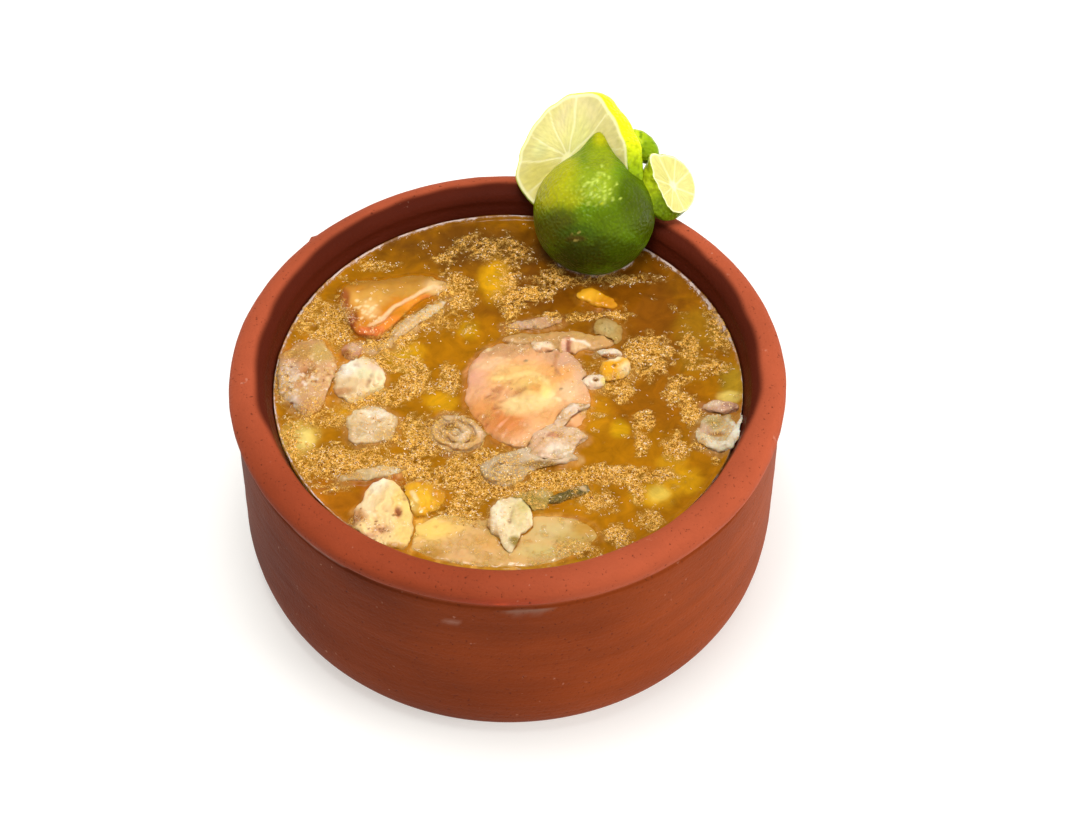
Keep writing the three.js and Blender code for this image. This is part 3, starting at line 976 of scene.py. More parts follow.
def directed(places: Places, x: float, y: float, turn: float) -> tuple[np.ndarray, np.ndarray]:
    """How far places lie from a point along a direction of `turn` degrees, and across it.

    Args:
        places: Rows of x, y and z in mm.
        x: The point's x.
        y: The point's y.
        turn: The direction in degrees.

    Returns:
        The distances along it and across it.
    """
    turn = math.radians(turn)
    dx, dy = places[:, 0] - x, places[:, 1] - y
    along = dx * math.cos(turn) + dy * math.sin(turn)
    return along, dy * math.cos(turn) - dx * math.sin(turn)


@dataclass(frozen=True)
class Relief:
    """Unevenness of a piece's skin: how wide and how high its lumps are, in mm.

    `stretch` draws the lumps out along `turn` degrees, and `crisp` turns them
    into ridges with sharp crests.
    """

    size: float
    height: float
    stretch: float = 1.0
    turn: float = 0.0
    crisp: bool = False

    def heights(self, places: Places, seed: float) -> np.ndarray:
        """The height at each place.

        Args:
            places: Rows of x, y and z in mm.
            seed: Moves the lumps.

        Returns:
            A height in mm for each place.
        """
        along, across = directed(places, 0, 0, self.turn)
        drawn = np.column_stack([along / self.stretch, across, places[:, 2]])
        drawn += 0.35 * self.size * hum(places, 1.7 * self.size, seed + 7)[:, None]
        lumps = hum(drawn, self.size, seed)
        if self.crisp:
            lumps = 1 - 2.4 * np.abs(lumps)
        return self.height * lumps


def ridges(size: float, height: float, stretch: float, turn: float) -> Relief:
    """Ridges with sharp crests, drawn out along `turn` degrees."""
    return Relief(size, height, stretch, turn, crisp=True)


@dataclass(frozen=True)
class Coils:
    """Rings round a point, as a tendon curls when it is boiled, in mm."""

    x: float
    y: float
    pitch: float
    height: float
    reach: float
    squash: float = 0.75
    turn: float = 0.0

    def heights(self, places: Places, seed: float) -> np.ndarray:
        """The height at each place.

        Args:
            places: Rows of x, y and z in mm.
            seed: Moves the rings' unevenness.

        Returns:
            A height in mm for each place.
        """
        along, across = directed(places, self.x, self.y, self.turn)
        across /= self.squash
        away = np.hypot(along, across) + 0.9 * hum(places, 5, seed)
        spiral = away / self.pitch - np.arctan2(across, along) / (2 * math.pi)
        crests = np.abs(np.cos(math.pi * spiral)) ** 0.7 - 0.5
        return self.height * crests * eased(self.reach, 0.75 * self.reach, away)


@dataclass(frozen=True)
class Hollow:
    """A dent, or a bump where it is negative, at a place on a piece, in mm."""

    x: float
    y: float
    half_x: float
    half_y: float
    depth: float
    turn: float = 0.0

    def heights(self, places: Places, seed: float) -> np.ndarray:
        """The height at each place.

        Args:
            places: Rows of x, y and z in mm.
            seed: Moves the edge's unevenness.

        Returns:
            A height in mm for each place.
        """
        along, across = directed(places, self.x, self.y, self.turn)
        away = np.hypot(along / self.half_x, across / self.half_y)
        return -self.depth * eased(1, 0, away + 0.1 * hum(places, 2, seed))


@dataclass(frozen=True)
class Morsel:
    """One piece of trotter: its packed form with fine relief and its own colours."""

    node: str
    tissue: Tissue
    base: str
    spots: tuple[Row, ...] = ()
    reliefs: tuple[Relief | Coils | Hollow, ...] = ()
    voxel: float = 0.4
    rounds: int = 4
    film: float = 1.0
    scummy: float = 0.0
    ragged: float = 1.0

    def build(self, finish: Material, seed: float) -> Piece:
        """Makes the piece.

        Args:
            finish: The material of its tissue.
            seed: Moves its noise.

        Returns:
            The finished piece.
        """
        bm = cast_of(self.node, self.voxel)
        softened(bm, self.rounds)
        places = places_of(bm)
        outwards = normals_of(bm)
        tints = tinted(places, self.base, self.spots, seed=seed)
        wrinkles = ridges(2.6, 0.3, 1.7, 40 * seed).heights(places, seed + 8)
        height = 0.15 + self.ragged * (wrinkles + 0.12 * hum(places, 0.9, seed + 10))
        for relief in self.reliefs:
            height += relief.heights(places, seed)
        # Hollows between folds are darker and browner: partly broth that they hold, partly painted shade.
        sunk = eased(0.1, -0.55, height)[:, None]
        tints = tints * (1 - 0.6 * sunk) + tints * np.array(linear("#b06c30")) * 0.6 * sunk
        # A thin film of broth laps over the edges, unevenly.
        above = places[:, 2] - BROTH_LEVEL
        lap = above + 0.5 * hum(places, 2.6, seed + 3) + 0.25 * hum(places, 0.9, seed + 4)
        lapped = 0.8 * eased(self.film, 0, lap + 0.4 * hum(places, 7, seed + 2))
        tints = laid_over(tints, broth_tints(places), lapped)
        froth = froth_at(places) * eased(3.0, 1.2, above)
        own = self.scummy * (0.8 + 0.9 * hum(places, 4, seed + 9))
        shore = 0.8 * eased(1.3, 0.2, lap) * eased(-0.2, 0.3, hum(places, 5, seed + 11))
        froth = np.clip(np.maximum(np.maximum(0.9 * froth, own), shore), 0, 1)
        raised = np.clip(height, -0.9, 0.9) * eased(0.1, 0.6, outwards[:, 2])
        frayed = self.ragged * (1.1 * hum(places, 4.6, seed + 5) + 0.5 * hum(places, 1.7, seed + 6))
        shift = outwards * raised[:, None] + outwards * (1, 1, 0) * frayed[:, None]
        put(bm, places + shift)
        return piece_from(
            bm, f"{self.node}_flesh", [finish], self.node, [self.node], tints, {"froth": froth}
        )


MORSELS: tuple[Morsel, ...] = (
    Morsel(
        "knuckle", Tissue.SKIN, "#f4b47c",
        (
            (-3, 15, 13, 5, "#d6a06c"), (-11, 5, 5, 10, "#f0b08c"), (-12, -6, 4, 5, "#f2b484"),
            (-7, -13, 9, 7, "#e89c54"), (-1, -18, 7, 6, "#e08a44"), *cluster(-4, 8, 9, 16, 0.9, "#fcd8a0"),
            *cluster(14, -10, 8, 16, 0.8, "#fce0b0"), (-6, 7, 6, 3.4, "#f8c694"), (4, 2, 11, 6, "#fac476"),
            (16, 3, 6, 8, "#f6b066"), (7, -10, 10, 4.6, "#fcd692"), (8, -3, 7, 4, "#fcd27c"),
            (9, -3.4, 3, 2, "#f2b05c"), (12, -5, 1.6, 3.4, "#fede84"),
            *streak(((0, 1), (6, 3), (11, 1), (13, -3)), 1.1, "#fee296", 0.35),
            *streak(((1, -8), (6, -9.5), (11, -8.5), (15, -5)), 1.3, "#fee49c", 0.35),
            (-2, 1, 4, 1.2, "#fbe08e", 0.8), (19, 10, 8, 5, "#dca884"), (24, 1, 3.6, 8, "#e6b68c"),
            (20, -4, 4, 5, "#f0c896"), *streak(((16, 12), (15, 6), (17, 1)), 0.8, "#c88858", 0.6),
            (3.2, 18.5, 0.7, 0.6, "#7c6440"), (5.8, 8.3, 0.8, 0.6, "#94845c"),
            (14.3, 5.6, 0.4, 0.4, "#a06430"), (17.1, -3.8, 0.7, 0.5, "#a8885c"),
            (1.2, -3.8, 0.4, 0.4, "#b08048"), (14, -16, 7, 5, "#f2b070")
        ),
        (
            Relief(14, 0.8), Relief(3.2, 0.24, stretch=2.5, turn=40), Relief(1.3, 0.1),
            Coils(9, -4, 5.2, 0.26, 13, 0.7, 15), Hollow(16, 5, 7, 1.4, 0.5, turn=70),
            Hollow(-2, 5, 9, 1.4, 0.3, turn=25)
        ),
        voxel=0.5, rounds=9, film=0.9, scummy=0.2, ragged=0.9
    ),
    Morsel(
        "folded_skin", Tissue.SKIN, "#d48614",
        (
            (-38, 46, 22, 4, "#b27c20"), (-34, 41, 17, 3.6, "#cc9436"), (-22, 43, 6, 4, "#e6bc7a"),
            (-46, 37, 8, 4, "#dea648"), (-54.5, 36, 2.2, 7, "#a4561a"), (-51.5, 28, 2, 6, "#9c4a12"),
            (-45, 22, 6, 3, "#d8722a"), (-38, 26, 6, 3.2, "#e88a2a"), (-29, 35, 7, 2.8, "#ee962a"),
            (-26, 38, 4, 1.4, "#e8742a", 0.6), (-45.5, 32, 3.6, 5, "#f2c078", 0.8),
            *cluster(-45.5, 32, 4, 26, 0.6, "#fbdca4"),
            # A painted highlight along the fold's ridge.
            *streak(
                (
                    (-18, 42.3), (-24.6, 43), (-28.7, 40.4), (-31.3, 38), (-37.6, 33.3), (-41.3, 28),
                    (-46, 24.6)
                ),
                0.9, "#ffcf9a", 0.75
            )
        ),
        (
            Relief(6, 0.25), Relief(1.6, 0.12), Hollow(-38, 30, 2.2, 14, 0.45, turn=-50),
            Hollow(-34, 33.5, 0.9, 16, -0.5, turn=-50), Hollow(-50, 29, 1.2, 6, 0.7, turn=8)
        ),
        voxel=0.4, film=1.6, ragged=0.5
    ),
    Morsel(
        "gristle_right", Tissue.CARTILAGE, "#f8e0c4",
        (
            (31.4, 0.2, 1.6, 2, "#f4d680"), (28.4, 0.4, 1.1, 1, "#9a6030"),
            (28.4, 0.2, 0.5, 0.4, "#7c4c28"), (26, -1.6, 3, 1, "#f0c4a0", 0.6)
        ),
        (Relief(1.8, 0.22), Hollow(28.4, 0.4, 1.4, 1.2, 0.6)), voxel=0.25, scummy=0.18
    ),
    Morsel(
        "gristle_strip", Tissue.CARTILAGE, "#f6e6cc", ((33, 11.6, 4, 0.7, "#a86a38"),),
        (Relief(1.6, 0.25, stretch=2), Relief(0.9, 0.12)), voxel=0.25, scummy=0.35
    ),
    Morsel(
        "skin_flap", Tissue.SKIN, "#cf9f62",
        (
            (8, 21, 11, 2.4, "#c39654"), (28, 20.5, 9, 2.4, "#cda05c"), (11.5, 14.5, 3.8, 2.6, "#f6dcb8"),
            (11, 13, 4.4, 1, "#d8a478"), (20, 15, 1.4, 3.6, "#c88462"), (18.4, 15.5, 0.9, 3, "#eec0a0"),
            (24, 15, 3, 2.6, "#f0c896"), (2, 16, 5, 2.6, "#e4b47c"),
            *streak(((21, 17.4), (25, 17.2), (27, 15.4)), 0.6, "#fae6c8", 0.8),
            *cluster(6, 17.5, 5, 9, 0.45, "#f8e2c4")
        ),
        (Relief(3, 0.35), Relief(1.1, 0.2), Hollow(19.6, 14.5, 0.9, 3.4, 0.7)), film=1.5, scummy=0.12
    ),
    Morsel(
        "frayed_tissue", Tissue.TENDON, "#f0ceae",
        (
            (8.5, -26, 4, 5, "#e8b892"), (16, -28.5, 5, 2, "#f8e6cc"), (15, -23, 3, 1.4, "#d49470"),
            (22, -11.5, 5, 3, "#f4dcc4")
        ),
        (ridges(4, 0.7, 2.2, 30), ridges(1.3, 0.3, 2.4, 30)), voxel=0.32, rounds=3, film=1.4, scummy=0.42
    ),
    Morsel(
        "fat_right", Tissue.FAT, "#efb02c",
        (
            (33.6, 5.6, 3.2, 3.6, "#f0aa18"), (39, 5.2, 3.2, 4, "#f4d8a0"),
            (34.6, 6.4, 0.8, 0.8, "#a86c10"), (34, 10, 4, 1.6, "#f6e0b0")
        ),
        (Relief(3, 0.3), Hollow(38, 6, 1, 3, 0.4, turn=20)), voxel=0.3
    ),
    Morsel(
        "cartilage_back", Tissue.CARTILAGE, "#c2a25a",
        ((33, 24, 3, 3.6, "#c9b478"), (30, 19, 3, 3, "#c0924c"), *cluster(34, 23, 3, 8, 0.35, "#8c7a3c")),
        (Relief(4, 0.3), Relief(1.2, 0.15)), voxel=0.3, film=2.2, scummy=0.15
    ),
    Morsel(
        "ridged_strip", Tissue.TENDON, "#d4ab86", ((3, 26, 5, 2, "#ddb49c"), (14, 27.5, 5, 2, "#cfa078")),
        (ridges(1.3, 0.38, 2.6, 86),), voxel=0.28, rounds=3, scummy=0.3
    ),
    Morsel(
        "skin_fat_edge", Tissue.FAT, "#f0d8b4", ((-37, 19, 5, 4, "#e2bf9c"), (-24, 32, 6, 4, "#f6e6c4")),
        (Relief(2.2, 0.4), Relief(0.9, 0.2)), voxel=0.28, rounds=3, scummy=0.55
    ),
    Morsel(
        "pink_bit", Tissue.TENDON, "#cf9474",
        ((-50.6, 15.6, 1.8, 1.6, "#e6c0a4"), (-53, 13.4, 1.8, 1.8, "#a4602c")),
        (Relief(1.7, 0.3), Relief(0.8, 0.15)), voxel=0.25, scummy=0.4
    ),
    Morsel(
        "cartilage_left", Tissue.CARTILAGE, "#fce2b4",
        (
            (-52, 7, 5, 5, "#fff6e0"), (-47, 4, 4, 4, "#f0e6b8"), (-43, 8, 3, 3, "#f4d2b4"),
            (-50, 0, 8, 3, "#efcf9e"), (-42, -2, 3, 4, "#fff0b8"), (-55, -3, 5, 1.6, "#d09a64"),
            (-57, 4, 1.4, 7, "#dca868")
        ),
        (Relief(7, 0.5), Relief(1.8, 0.2), Hollow(-44.5, 3, 1.4, 8, 0.35, turn=-15)), film=1.4, scummy=0.2
    ),
    Morsel(
        "cartilage_front", Tissue.CARTILAGE, "#f6dcb0",
        ((-42.5, -12, 4, 3.4, "#fff2d8"), (-46, -19, 5, 4, "#e8cda6"), (-39, -21, 3.4, 3, "#dcb888")),
        (Relief(4, 0.4), Relief(1.3, 0.3), Hollow(-42, -15, 1.2, 1.2, 0.5)), voxel=0.35, film=1.8,
        scummy=0.4
    ),
    Morsel(
        "tendon_left", Tissue.TENDON, "#d8a070",
        (
            (-68, 13, 7, 4, "#c8924c"), (-61, 13, 4, 5, "#d2ae68"), (-71.5, 5, 4, 6, "#e4c4ae"),
            (-64, 4, 4, 3.4, "#c07c44"), (-59, 3, 4, 6, "#e4ae80"), (-65, -4, 6, 3, "#e6b488"),
            (-71, -7, 4, 4, "#f0d8c0"), *cluster(-62, 4, 8, 40, 0.55, "#f4d4a4"),
            *cluster(-70, 1, 6, 50, 0.55, "#fce8d4"), *cluster(-64, 4, 8, 12, 0.6, "#8c5020")
        ),
        (ridges(6, 1, 1.8, 60), ridges(2.2, 0.4, 2.2, 30), Hollow(-65.5, 4.5, 3.4, 1.6, 0.8, turn=50)),
        voxel=0.38, rounds=3, film=1.4, scummy=0.38
    ),
    Morsel(
        "bone_corner", Tissue.BONE, "#fcd894",
        (
            (-41, -42, 3.4, 6, "#fff0d0"), (-45, -50, 4, 6, "#f6d8a6"), (-38, -50, 4, 8, "#f5d392"),
            (-33, -52, 3.4, 9, "#f6d27c"), (-33, -62, 4, 5, "#f2cc78"), (-47, -55, 3, 3, "#d29a62"),
            *cluster(-47, -55, 2.6, 12, 0.4, "#a46a34"), (-40, -60, 4, 2.6, "#eebc84"),
            *cluster(-40, -60, 3.6, 14, 0.4, "#9c6430"), (-34.8, -53.5, 1.4, 2.4, "#c8844c"),
            *cluster(-34.8, -54, 1.6, 7, 0.4, "#94602a"), (-36, -66, 4, 1.6, "#c8903c"),
            (-44, -62, 4, 1.4, "#e2ae80")
        ),
        (
            Relief(6, 0.35), Relief(1.3, 0.18), Hollow(-47, -55, 2.6, 2.4, 0.5),
            Hollow(-40, -60, 4, 2, 0.7), Hollow(-34.8, -53, 1.2, 2.8, 0.8, turn=20),
            Hollow(-37, -46, 1, 7, -0.5, turn=18), Hollow(-33, -46, 1.4, 6, 0.5, turn=10)
        ),
        voxel=0.34, film=1.3, scummy=0.14
    ),
    Morsel(
        "fat_left", Tissue.FAT, "#eeb020",
        (
            (-28, -47, 4, 4, "#f4bc28"), (-22, -44, 3, 4, "#dc9814"), (-31, -50.5, 3, 3, "#f4d070"),
            (-28, -40, 4, 2, "#d89418"), *streak(((-30.5, -45), (-29, -49)), 0.9, "#fbe2a0")
        ),
        (Relief(4, 0.3), Hollow(-30, -48, 1, 3.6, -0.4, turn=40)), voxel=0.32, film=3, scummy=0.1
    ),
    Morsel(
        "gristle_stub", Tissue.CARTILAGE, "#f6e0b0",
        (
            (-4, -54, 2.6, 8, "#fff0cc"), (-4, -62, 2, 5, "#eccfa0"), (3, -54, 3, 6, "#ead69c"),
            (4.4, -51, 2.4, 3, "#dcc884"), (0, -48.4, 3.4, 1.6, "#e8cfa0"),
            (1.6, -64.4, 1.8, 1.8, "#988038"), (-6.4, -58, 1.2, 6, "#c89860")
        ),
        (
            Relief(4, 0.4), Relief(1.2, 0.2), Hollow(0.6, -54, 1.2, 7, 0.6, turn=-12),
            Hollow(-4, -56, 1, 8, -0.4, turn=8)
        ),
        voxel=0.3, film=1.5, scummy=0.2
    ),
    Morsel(
        "cartilage_slab", Tissue.CARTILAGE, "#e0b26c",
        (
            (-24, -58, 9, 6, "#fccf70"), (-12, -66, 11, 6, "#e2b274"), (-6, -64, 7, 4, "#e4ae62"),
            (14, -60, 9, 5, "#d8bc7c"), (22, -64, 9, 4, "#ceaa5c"), (10, -68, 8, 3, "#d8bc76"),
            (-16, -54, 6, 2.6, "#e2b468"), (25, -58, 6, 4, "#c08c24", 0.8),
            (-26, -68, 6, 3, "#c08a2c", 0.8), *cluster(20, -66, 6, 16, 0.4, "#8a7438")
        ),
        (Relief(12, 0.25), Hollow(-8, -60, 4, 6, 0.15)), voxel=0.45, rounds=6, film=0.6, ragged=0.6
    ),
    Morsel(
        "dark_strand", Tissue.LEAF, "#54501c",
        ((23, -43.4, 1.2, 0.9, "#e8d8b4"), (15, -47, 3, 1.2, "#6c6228")),
        (Relief(1.4, 0.3, stretch=3, turn=24),), voxel=0.25, rounds=2, film=1.4, scummy=0.3
    ),
    Morsel(
        "green_tendon", Tissue.TENDON, "#b49a4a",
        ((0, -52, 3, 1.4, "#dccf9c"), (6, -48, 3, 1.6, "#94822e"), (11, -46, 3, 1.4, "#cbb878")),
        (ridges(1.8, 0.4, 2.4, 24), Relief(0.9, 0.2)), voxel=0.28, rounds=2, scummy=0.6
    ),
    Morsel(
        "ring_curl", Tissue.TENDON, "#e0bc90",
        ((-19, -18, 3, 2, "#8c5a2c"), (-14, -21, 4, 3, "#f2dcc0"), (-11.5, -23.5, 2, 3, "#e4b060")),
        (Coils(-16.8, -20, 2.9, 0.5, 10, 0.6, -35), ridges(1.6, 0.4, 2, 60)), voxel=0.28, rounds=2,
        film=1.4, scummy=0.5
    ),
    Morsel(
        "shell_tendon", Tissue.TENDON, "#cdb798",
        (
            (-3, -37, 6, 4, "#b8a78c"), (-1, -35.4, 2, 1.6, "#ecd9b4"), (12, -30.5, 8, 2.6, "#e6caa8"),
            (10, -34, 7, 1.4, "#94703c"), (2, -40, 4, 1.6, "#c8a468")
        ),
        (Coils(-1.6, -36, 2.4, 0.5, 7.5, 0.6, 10), ridges(1.5, 0.4, 3, 20)), voxel=0.3, rounds=2,
        scummy=0.32
    ),
    Morsel(
        "pink_stick", Tissue.TENDON, "#d2a68c",
        ((71, -11, 3.4, 0.9, "#c0907c"), (66, -10.4, 3, 1.2, "#ecd0b8")), (ridges(1.4, 0.28, 3, -6),),
        voxel=0.25, rounds=2, scummy=0.25
    ),
    Morsel(
        "right_crescent", Tissue.CARTILAGE, "#e2d2ae",
        (
            (66, -17, 3.4, 3, "#b9a76c"), (63, -20, 2.4, 2.6, "#dcb89c"), (67, -22, 3, 1.2, "#a06432"),
            (73, -20, 2.4, 6, "#f4ecd8"), (67.6, -27, 6, 2.2, "#eee2c4")
        ),
        (Relief(2.2, 0.35), Coils(66.4, -18.4, 3.2, 0.4, 8, 0.9), Hollow(67, -21.6, 3, 0.9, 0.6)),
        voxel=0.3, rounds=3, film=1.4, scummy=0.32
    ),
    Morsel(
        "fat_back", Tissue.FAT, "#dc9a16", ((27, 38, 4, 2.4, "#eeb02c"), (33, 35.5, 3, 2, "#d08a14")),
        (Relief(3, 0.25),), voxel=0.3
    ),
    Morsel(
        "pale_strip", Tissue.TENDON, "#dcbf8e",
        ((-39, -35.6, 5, 1.6, "#ecd6b2"), (-50, -37, 4, 1.4, "#c8a06a")), (ridges(1.6, 0.3, 3, 12),),
        voxel=0.25, rounds=2, scummy=0.45
    )
)


# ---- The soup -------------------------------------------------------------


@dataclass(frozen=True)
class Surface:
    """The faces of several pieces as one search tree in mm, with each face's colour."""

    tree: BVHTree
    tints: np.ndarray

    @classmethod
    def of(cls, pieces: Sequence[Piece]) -> "Surface":
        """The surface of several pieces.

        Args:
            pieces: The pieces, each with its tints.

        Returns:
            The surface.
        """
        points: list[Vector] = []
        faces: list[tuple[int, ...]] = []
        tints: list[tuple[float, ...]] = []
        for piece in pieces:
            start = len(points)
            colours = piece.data.attributes[TINT].data
            points.extend(v.co / MM for v in piece.data.vertices)
            for polygon in piece.data.polygons:
                faces.append(tuple(start + i for i in polygon.vertices))
                tints.append(tuple(colours[polygon.vertices[0]].color)[:3])
        return cls(BVHTree.FromPolygons(points, faces), np.array(tints))

    def nearest(self, places: Places, chosen: np.ndarray, reach: float) -> tuple[np.ndarray, np.ndarray]:
        """How far the surface is from places, and its colour there.

        Args:
            places: Rows of x, y and z in mm.
            chosen: Which of the places are looked at.
            reach: How far it looks; further places get three times this distance.

        Returns:
            The distances in mm and the linear colours.
        """
        away = np.full(len(places), 3 * reach)
        colours = np.zeros((len(places), 3))
        for i in np.flatnonzero(chosen):
            spot, _, face, distance = self.tree.find_nearest(Vector(places[i]), reach)
            if spot is not None:
                away[i] = distance
                colours[i] = self.tints[face]
        return away, colours


class FrothPatch(NamedTuple):
    """An island of froth on the soup, in mm."""

    x: float
    y: float
    half_x: float
    half_y: float
    weight: float = 1.0


FROTH_PATCHES = (
    (-8.2, 60.9, 9, 6), (-21.7, 57.1, 4.2, 1.6), (-44.4, 53.5, 6.7, 2.3), (-58.9, 27.9, 7, 9.4, 1.3),
    (-67, 35, 5, 10), (-16.6, 40.5, 5.6, 11), (-41.3, 19, 7, 4.5, 1.2), (0.9, 43.6, 3.3, 18),
    (-31.1, 2.5, 5.7, 7.5, 1.3), (-19.4, 3.2, 2.8, 6.4, 1.2), (-41.1, 12.3, 5, 4), (-55.8, -13.2, 4.8, 4.2),
    (-55.9, -31, 13.7, 6.1, 1.3), (-33, -31.5, 7.9, 4.7, 1.3), (-24.4, -21.9, 12, 8.3, 1.2),
    (-10.3, -38, 13.5, 10, 1.4), (-15.5, -51.4, 6.3, 5, 1.2), (-70.6, -24.4, 3.4, 9.3),
    (5.9, 40.2, 8.3, 4.5, 1.1), (4.4, 59.5, 5.1, 4.4), (15.8, 49.8, 4.7, 4), (30.1, 30.1, 9.8, 2.2),
    (46.2, 12.7, 7, 9.8, 1.1), (59.8, 14.7, 3.3, 8, 1.1), (66.5, 7.5, 5.4, 3.2, 1.1), (70, 29, 4, 12),
    (56.3, 2.9, 3.6, 1.9), (36.3, -1.4, 4.9, 4.7, 1.2), (53.3, -3.1, 3.1, 4), (15.2, 29.9, 2.8, 3),
    (58.9, -10.5, 2.6, 6), (43.4, -15.2, 3.7, 3.5, 1.2), (42.3, -23.7, 2.2, 5.4, 1.1),
    (53.5, -26.1, 3, 5.6, 1.2), (62.7, -25.7, 4, 1.6), (33, -37, 13, 3.4, 1.3), (44, -37.4, 9, 2.6, 1.1),
    (28, -48, 5.2, 4, 1.1), (40.6, -44.4, 2.2, 4.6), (44.2, -55.2, 3.4, 3.9), (33.9, -61.5, 4.2, 3, 1.1),
    (16.6, -40.4, 7.9, 4, 1.2), (17.8, -67.4, 7, 2.4), (65.8, -31.6, 1.6, 2), (-28.2, -37.4, 6.3, 3),
    (-58.1, -41.5, 6.3, 2, 0.7), (26, 47, 22, 3, 0.7), (-38, -4, 5, 4, 0.8), (-60, -12, 7, 5, 0.8),
    (8, -44, 8, 3.6, 1.2), (-65, 4, 9, 12, 0.5), (-47, -6.5, 6, 4, 0.9), (-62, -8, 5, 3, 0.9),
    (-72.5, 2, 3.5, 8, 0.9), (-44, -4, 5, 4, 0.6), (-44, -16, 8, 6, 0.55), (-46, -56, 4, 4, 0.55),
    (-39, -60, 5, 3, 0.55), (-4, -56, 4.5, 9, 0.5), (13, -26, 9, 5, 0.6), (22, -11.5, 5, 3, 0.45),
    (2, -37, 8, 4, 0.7), (-17, -20, 8, 6, 0.8), (8, 15.5, 11, 3.4, 0.55), (23, 5, 5, 7, 0.4),
    (68, -20, 7, 7, 0.5), (69, -11, 5, 1.5, 0.4), (-38, 20, 9, 6, 1), (-28, 28, 7, 4, 0.8),
    (-23, 34, 4, 4, 0.7), (22, -66, 6, 3, 0.8), (31, 4, 8, 9, 0.35)
)


def froth_at(places: Places) -> np.ndarray:
    """How frothy the soup is at each place, from 0 to about 1.4.

    Args:
        places: Rows of x, y and z in mm.

    Returns:
        A share for each place.
    """
    drift = 0.55 * hum(places, 7, 31) + 0.5 * hum(places, 2.6, 32) + 0.25 * hum(places, 1.1, 33)
    most = np.zeros(len(places))
    for *oval, weight in (FrothPatch(*row) for row in FROTH_PATCHES):
        away = from_oval(places, *oval)
        most = np.maximum(most, weight * eased(1.6, 0.4, away + drift))
    flecks = 0.45 * eased(0.25, 0.6, hum(places, 3.2, 34)) * eased(-0.3, 0.2, hum(places, 16, 35))
    return np.maximum(most, flecks) * (1 - 0.35 * eased(30, 60, places[:, 1]))


def threads_at(places: Places) -> np.ndarray:
    """The tangle of threads that scum gathers in, from about -1 in a gap to 1 on a thread.

    Args:
        places: Rows of x, y and z in mm.

    Returns:
        A value for each place.
    """
    bent = places * (0.7, 1.1, 1.0)
    still = np.zeros(len(places))
    bent = bent + 1.1 * np.column_stack([hum(places, 3.2, 44), hum(places, 3.2, 45), still])
    return 1 - 4.2 * np.abs(hum(bent, 2, 43))


# Sunk lumps seen through the cloudy broth; the large dark patches towards the back and right are a painted
# reflection of the dark inner wall.
SUNK_AND_REFLECTED_SPOTS: tuple[Row, ...] = (
    (26, 44, 44, 20, "#784208", 0.9), (50, 24, 22, 20, "#844a06", 0.9), (48, -8, 16, 12, "#9c5c08", 0.85),
    (-8, 62, 38, 12, "#74440c", 0.9), (-56, -48, 12, 12, "#bc6e10", 0.8), (-40, -40, 9, 6, "#b4580a", 0.8),
    (-60, 8, 14, 20, "#e09424", 0.85), (-4.1, 47, 6, 10, "#dc9a0c"), (-4.6, 48, 4, 7, "#e8a812"),
    (-12.4, 24.8, 4, 4.6, "#c8900c"), (-33.7, 14.2, 6.6, 6.6, "#e0a010"),
    (-34.5, 14.6, 3.4, 3.6, "#e2a814"), (-66.8, -20.3, 6.4, 7, "#ecc050"), (-66, -21, 4, 4.4, "#f6d878"),
    (-51.8, -11.3, 5, 3, "#dc980e"), (-22, -6, 6, 4, "#dc9c10"), (45.9, -45.3, 7, 5.6, "#dca018"),
    (47, -45, 3.4, 3.4, "#e8c04c"), (56.6, -40.3, 5.4, 5.4, "#d89a10"), (35.7, -18, 3, 3.4, "#c8920c"),
    (63.5, 24.8, 9, 10, "#a87410", 0.9), (47.4, 32.9, 8.3, 8.9, "#8c5008", 0.8),
    (73, 1, 4.4, 9, "#b89020", 0.9), (71.5, -5.4, 4, 2.4, "#e4c460"), (22.3, -45.9, 8, 4.6, "#cc8c10"),
    (28, -50, 12, 4, "#c07c0a", 0.8), (60, 10, 5, 6, "#b27c14", 0.7), (28, -12, 5, 9, "#c8860e", 0.8),
    (52, -32, 5, 4, "#c88e12", 0.8),
    *streak(((-50, 18), (-44, 16.5), (-38, 20), (-30, 27)), 2.4, "#dcae7c", 0.8),
    *streak(((-28, -72), (-10, -75), (10, -75), (26, -70)), 1.8, "#b4800e", 0.9)
)


def broth_tints(places: Places) -> np.ndarray:
    """The broth's colour at each place, with what is sunk in it and a painted reflection that darkens the
    back.
    """
    return tinted(places, BROTH_COLOUR, SUNK_AND_REFLECTED_SPOTS, 0.35, 4, BROTH_LIGHT)


